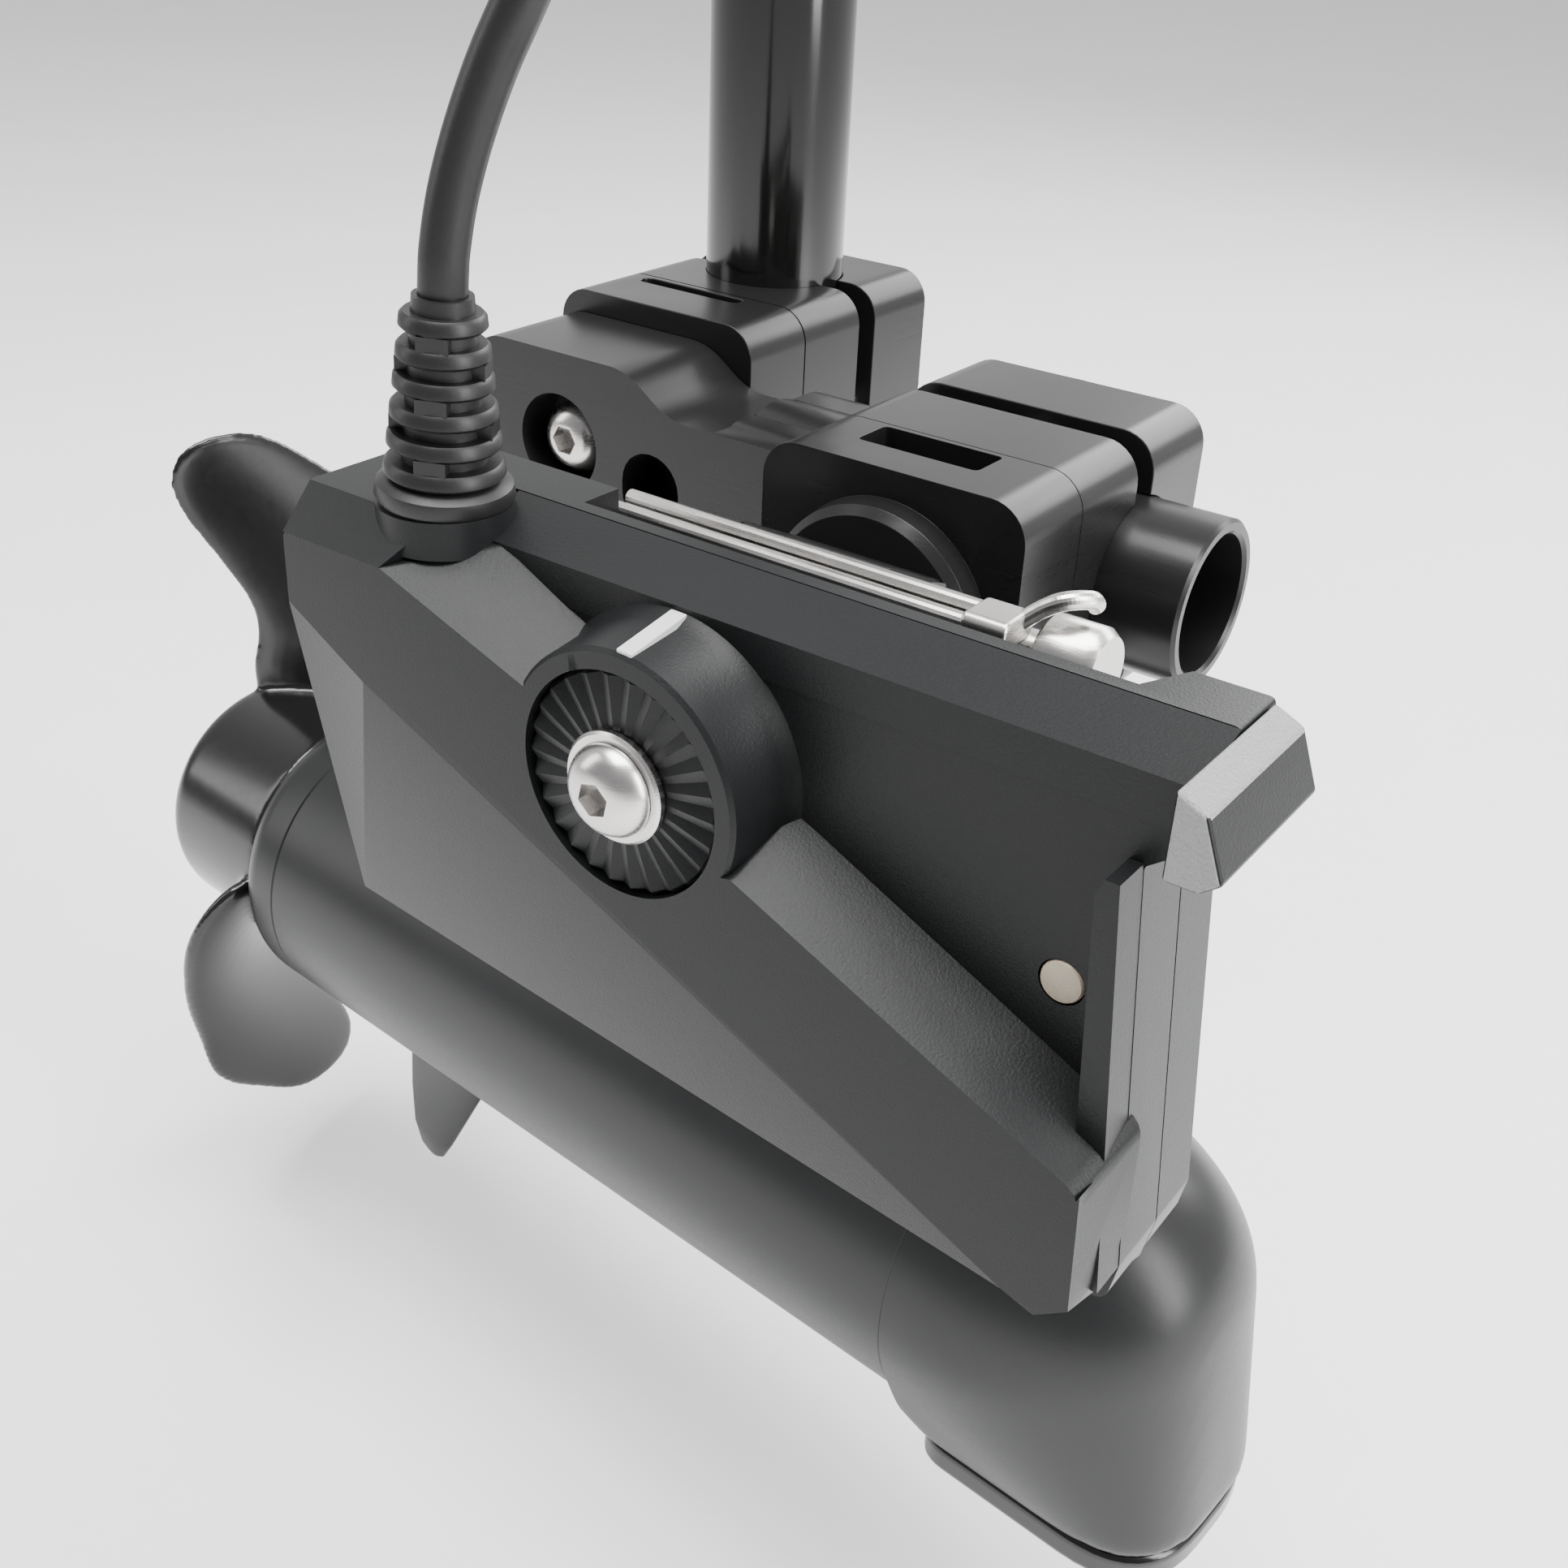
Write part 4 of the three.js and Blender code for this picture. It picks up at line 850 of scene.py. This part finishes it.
def make_nose(start):
    """Dome drawn down to the seat of the sonar window under it."""
    tip, seam = 147, -262
    steps, sides = 14, 64
    skin = [(*p, seam) for p in nose_outline(0)]
    for i in range(-4, steps):
        a = math.pi / 2 * max(i, 0) / steps
        x = start + min(i, 0) * 3 + (tip - start) * math.sin(a) ** 0.92
        r = POD_R * math.cos(a) ** 0.8
        skin += [(x, r * math.sin(t), POD_AXIS_Z + r * math.cos(t))
                 for t in (2 * math.pi * k / sides for k in range(sides))]
    skin.append((tip, 0, POD_AXIS_Z))
    nose = fuse(hull("nose", skin), 1.6, 24)
    nose = cut(nose, box(40, start, -60, 60, -300, -150), box(60, 170, -60, 60, -300, seam))
    add(nose, "pod_nose", "lower_unit", "painted", ("nose_cone",), POD_TURN, sharp=50)
    window = soften(prism("z", nose_outline(1), seam - 9, seam - 0.05), 2.6, 5)
    add(window, "nose_window", "lower_unit", "smoked", ("nose_sonar_window",), POD_TURN)


def make_bell(start):
    rear = -168
    profile = [(5.6, start), (POD_R - 0.5, start), (POD_R, start - 0.5)]
    for i in range(11):
        a = math.pi / 2 * i / 10
        profile.append((POD_R - 8 + 8 * math.cos(a), rear + 9 - 9 * math.sin(a)))
    profile += [(11, rear), (11, rear + 6.6), (5.6, rear + 6.6)]
    bell = lathe("bell", "x", profile, 0, POD_AXIS_Z, 96)
    add(bell, "pod_bell", "lower_unit", "painted", ("end_bell",), POD_TURN)


# ---------- propeller ----------
HUB = (-170, -218)
HUB_R = 39
BLADE_ROOT_X = -212
BLADE_PITCH = 0.45
# The blades lie on one screw surface. A section has its radius, the angles of its tail and its lead,
# and its thickness.
BLADE_SECTIONS = [
    (34, -4, 90, 8.5), (46, -4, 90, 8), (59, -1, 76, 7.2), (70, -2, 56, 6.6), (84, -6, 38, 5.6),
    (101, -10, 26, 4.4), (113, -11, 13, 3.6), (121, -9.5, 6, 3), (124.5, -7, 2, 2.4), (125.6, -4.5, -1, 1.6),
]
SECTION_POINTS = 40


def blade_section(r, tail, lead, thick):
    slope = math.atan2(BLADE_PITCH, math.radians(r))
    section = []
    for i in range(SECTION_POINTS):
        turn = 2 * math.pi * i / SECTION_POINTS
        angle = (tail + lead) / 2 - (lead - tail) / 2 * math.cos(turn)
        proud = thick / 2 * math.copysign(abs(math.sin(turn)) ** 0.6, math.sin(turn))
        along = BLADE_ROOT_X + BLADE_PITCH * angle + proud * math.cos(slope)
        around = math.radians(angle) - proud * math.sin(slope) / r
        section.append((along, r * math.sin(around), r * math.cos(around)))
    return section


def blade_sections():
    """Sections between the named ones, on a smooth curve through them."""
    steps = 6
    rows = [BLADE_SECTIONS[0], *BLADE_SECTIONS, BLADE_SECTIONS[-1]]
    made = []
    for before, start, end, after in zip(rows, rows[1:], rows[2:], rows[3:]):
        for k in range(steps):
            t = k / steps
            made.append([0.5 * (2 * b + (c - a) * t + (2 * a - 5 * b + 4 * c - d) * t ** 2
                                + (3 * b - a - 3 * c + d) * t ** 3)
                         for a, b, c, d in zip(before, start, end, after)])
    made.append(BLADE_SECTIONS[-1])
    return [blade_section(*row) for row in made]


def make_propeller():
    front, rear = HUB
    edge = 7
    profile = [(0, front), (HUB_R - 1, front), (HUB_R, front - 1)]
    for i in range(9):
        a = math.pi / 2 * i / 8
        profile.append((HUB_R - edge + edge * math.cos(a), rear + edge - edge * math.sin(a)))
    profile.append((0, rear))
    prop = lathe("hub", "x", profile, 0, 0, 96)
    for side in (0, math.pi):
        blade = loft("blade", blade_sections())
        blade.data.transform(Matrix.Rotation(side, 4, "X"))
        prop = join(prop, blade)
    prop = fuse(prop, 0.9, 10)
    way = rod("x", 0, 0, 5.3, -240, -160, 32)
    seat = rod("x", 0, 0, 12, rear - 1, rear + 8, 48)
    prop = cut(prop, way, seat, box(front - 6, front + 3, -3, 3, -14, 14))
    lift = Matrix.Translation((0, 0, POD_AXIS_Z))
    add(prop, "two_blade_propeller", "propeller", "gloss", ("propeller",), POD_TURN @ lift, sharp=60)
    tip = rear - 12
    nut = prism("x", circle(0, 0, 9.5, 6), rear - 6, rear + 7.7)
    cap = lathe("cap", "x", [(0, rear - 17), (4, rear - 17), (7, rear - 14.5), (8.2, rear - 11),
                             (8.2, rear - 5), (0, rear - 5)])
    nut = cut(join(nut, cap), rod("x", 0, 0, 5.1, tip - 0.5, -160, 32))
    add(soften(nut, 0.5), "propeller_nut", "propeller", "steel", ("prop_nut",), POD_TURN @ lift)


# ---------- steering housing and bracket ----------
def make_housing():
    low, top, half, front, back, wall = HOUSING.values()
    shell = prism("z", rounded_rect(-half, half, front, back, 12, 8), low, top - wall - 0.3)
    shell = cut(
        soften(shell, 2.5),
        prism("z", rounded_rect(-half + wall, half - wall, front + wall, back - wall, 9), low + wall, top),
        rod("z", 0, 0, BUSH_SEAT_R, low - 1, low + wall + 1),
        *[rod("x", y, BRACKET_Z, 4.3, -half - 1, -half + wall + 1, 32) for y in CABLE_PORTS.values()],
        *[box(half - 1.2, half + 1, front + 16, back - 16, z, z + 3) for z in range(348, 412, 14)],
    )
    add(shell, "housing_shell", "bracket", "painted", ("steering_housing",))
    lid = soften(cut(prism("z", rounded_rect(-half, half, front, back, 12, 8), top - wall, top),
                     rod("z", 0, 0, BUSH_SEAT_R, top - wall - 1, top + 1)), 1.2)
    add(lid, "housing_cover", "bracket", "painted", ("housing_lid",))
    for i, (x, y) in enumerate(((-36, -33), (36, -33), (-36, 39), (36, 39))):
        head = screw("z", x, y, top - 0.5, top + 1.7, 3.4, 1.7, 1)
        add(head, f"lid_screw_{i + 1}", "bracket", "steel")
    bushes = (("lower_bush", (329, 342), (327, 329.7)), ("upper_bush", (418, 431), (430.3, 433)))
    for name, sleeve, flange in bushes:
        r = SHAFT_R + 0.15
        levels = sorted({*sleeve, *flange})
        profile = [(r, levels[0])]
        for z0, z1 in zip(levels, levels[1:]):
            out = 22 if flange[0] <= (z0 + z1) / 2 <= flange[1] else 18
            profile += [(out, z0), (out, z1)]
        profile.append((r, levels[-1]))
        add(lathe(name, "z", profile), name + "_ring", "bracket", "bronze", (name,))
    for side, y in CABLE_PORTS.items():
        nut = prism("x", circle(y, BRACKET_Z, 7, 6), -half - 18, -half - 0.3)
        gland = cut(join(soften(nut, 0.6), rod("x", y, BRACKET_Z, 4, -half - 2, -half + 7, 32)),
                    rod("x", y, BRACKET_Z, 1.7, -half - 20, -half + 9, 24))
        name = f"pedal_cable_gland_{side}"
        add(gland, name + "_body", "bracket", "steel", (name,))
    x, z = 60, 65
    plate = prism("y", rounded_rect(-x, x, BRACKET_Z - z, BRACKET_Z + z, 10, 8), back + 0.3, -AXIS_FROM_PLATE)
    holes = [rod("y", sx * (x - 13), BRACKET_Z + sz * (z - 13), 4.25, back, back + 14, 48)
             for sx in (-1, 1) for sz in (-1, 1)]
    add(soften(cut(plate, *holes), 1), "back_plate", "bracket", "painted", ("mounting_plate",))


def make_steering():
    drum = lathe("drum", "z", [(SHAFT_ROOM, 352), (30, 352), (30, 360), (26, 364), (26, 396), (30, 400),
                               (30, 408), (SHAFT_ROOM, 408)])
    add(drum, "cable_drum", "lower_unit", "bronze", ("steering_drum",))
    foot = 433.3
    band = lathe("collar", "z", [(SHAFT_ROOM, foot), (23, foot), (24, foot + 1), (24, foot + 21),
                                 (23, foot + 22), (SHAFT_ROOM, foot + 22)])
    collar = join(band, prism("z", rounded_rect(-9, 9, -32, -16, 1.5), foot, foot + 22))
    thread_way = rod("y", 0, foot + 11, 3.2, -33, -14.5, 32)
    collar = cut(collar, thread_way, rod("z", 0, 0, SHAFT_ROOM, foot - 1, foot + 23, 96))
    add(soften(collar, 0.7), "depth_stop", "lower_unit", "plastic", ("depth_collar",))
    lobes = []
    for i in range(90):
        a = 2 * math.pi * i / 90
        r = 13 + 2 * math.cos(5 * a)
        lobes.append((r * math.cos(a), foot + 11 + r * math.sin(a)))
    knob = join(soften(prism("y", lobes, -46, -33), 1.6), rod("y", 0, foot + 11, 3, -34, -14.7, 32))
    add(knob, "depth_stop_knob", "lower_unit", "plastic", ("depth_knob",))


def head_level(inset, steps):
    """Level outline of the control head, drawn in by an inset."""
    x0, x1, y0, y1 = HEAD_BOX
    corner = max(HEAD_CORNER - inset, 8)
    return rounded_rect(x0 + inset, x1 - inset, y0 + inset, y1 - inset, corner, steps)


def head_loft(name, rows, steps):
    return loft(name, [[(u, v, HEAD_FOOT + z) for u, v in head_level(inset, steps)] for inset, z in rows])


def make_top_head():
    low = HEAD_FOOT
    collar = lathe("collar", "z", [(14.7, low - 18), (22.5, low - 18), (24, low - 16.5), (24, low + 2),
                                   (14.7, low + 2)])
    base = join(prism("z", head_level(0, 10), low, low + 20), collar)
    base = cut(soften(base, 2), rod("z", 0, 0, SHAFT_ROOM, low - 20, low + 22, 96),
               prism("z", head_level(5, 8), low + 8, low + 22),
               rod("x", -20, low + 9, 6.3, -64, -50, 32))
    add(base, "head_tray", "lower_unit", "painted", ("head_base",))
    rows = [
        (0, 20.3), (0, 42), (0.5, 47), (1.8, 51.5), (4, 56), (7.5, 60.5), (12, 64.5), (18, 67.8), (26, 70.2),
        (34, 71.5),
    ]
    hollow = head_loft("hollow", [(4, 19), (4, 42), (8, 54), (14, 60)], 8)
    cover = cut(head_loft("cover", rows, 10), hollow)
    add(cover, "head_lid", "lower_unit", "gloss", ("head_cover",), sharp=55)
    seam = head_loft("seam", [(2, 18), (2, 22)], 8)
    seam = cut(seam, prism("z", head_level(4, 8), low + 10, low + 30))
    add(seam, "head_gasket", "lower_unit", "rubber")
    gland = join(prism("x", circle(-20, low + 9, 9, 6), -74, -62.3), rod("x", -20, low + 9, 6, -70, -52, 32))
    gland = cut(soften(gland, 0.7), rod("x", -20, low + 9, 3.7, -76, -50, 32))
    add(gland, "battery_gland", "lower_unit", "rubber", ("battery_lead_gland",))


# ---------- CAD nodes that stay ----------
KEPT = {
    "power_lead": "rubber", "shaft_seal": "rubber", "rear_bearing": "steel", "front_bearing": "steel",
    "magnet_upper": "magnet", "magnet_lower": "magnet", "armature": "copper", "motor_shaft": "steel",
    "drive_pin": "steel", "control_board": "board", "sonar_array": "ceramic",
}


def finish_kept_nodes():
    for name, material in KEPT.items():
        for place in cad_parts[name].material_slots:
            place.material = MATERIALS[material]


# ---------- studio ----------
def soft_light(name, place, target, width, height, watts):
    data = bpy.data.lights.new(name, "AREA")
    data.shape = "RECTANGLE"
    data.size = width
    data.size_y = height
    data.energy = watts
    light = bpy.data.objects.new(name, data)
    light.location = place
    light.rotation_euler = (Vector(target) - Vector(place)).to_track_quat("-Z", "Y").to_euler()
    bpy.context.scene.collection.objects.link(light)


def make_studio():
    floor_z = CAD_BOX[0][2] - 0.02
    size = 6
    floor = from_faces("floor", [(-size, -size, floor_z), (size, -size, floor_z), (size, size, floor_z),
                                 (-size, size, floor_z)], [(0, 1, 2, 3)])
    pale = make_material("floor", grey(0.86), grey(0.9), (0.7, 0.8), relief=0.02, specular=0.2)
    floor.data.materials.append(pale)
    world = bpy.data.worlds.new("studio")
    bpy.context.scene.world = world
    world.use_nodes = True
    tree = world.node_tree
    backdrop = tree.nodes["Background"]
    place = tree.nodes.new("ShaderNodeTexCoord").outputs["Generated"]
    spread = tree.nodes.new("ShaderNodeSeparateXYZ")
    tree.links.new(place, spread.inputs[0])
    # The room is bright behind the object and dim in front of it.
    depth = tree.nodes.new("ShaderNodeMapRange")
    depth.inputs["From Min"].default_value = -0.5
    depth.inputs["From Max"].default_value = 0.6
    tree.links.new(spread.outputs["Y"], depth.inputs["Value"])
    dim, bright = (0.26, 0.26, 0.27, 1), (1, 1, 1, 1)
    tree.links.new(blended(tree, "RGBA", depth.outputs[0], dim, bright), backdrop.inputs["Color"])
    backdrop.inputs["Strength"].default_value = 1.35
    middle = (0.04, -0.15, -0.5)
    soft_light("left", (-1.3, -1.0, 0.3), middle, 0.5, 1.3, 9)
    soft_light("right", (1.4, -0.1, 0.1), middle, 0.4, 1.3, 28)
    soft_light("top", (0.1, -0.2, 1.4), middle, 1.6, 1.2, 105)
    soft_light("behind", (0.3, 1.6, 0.5), middle, 1.6, 0.8, 34)


make_leads()
make_shaft()
make_strain_relief()
make_clamps()
make_arm()
make_bracket()
make_pin_and_bail()
make_front_shell()
make_back_shell()
make_head_nose()
make_tilt_joint()
make_pod()
make_propeller()
make_housing()
make_steering()
make_top_head()
finish_kept_nodes()
make_studio()
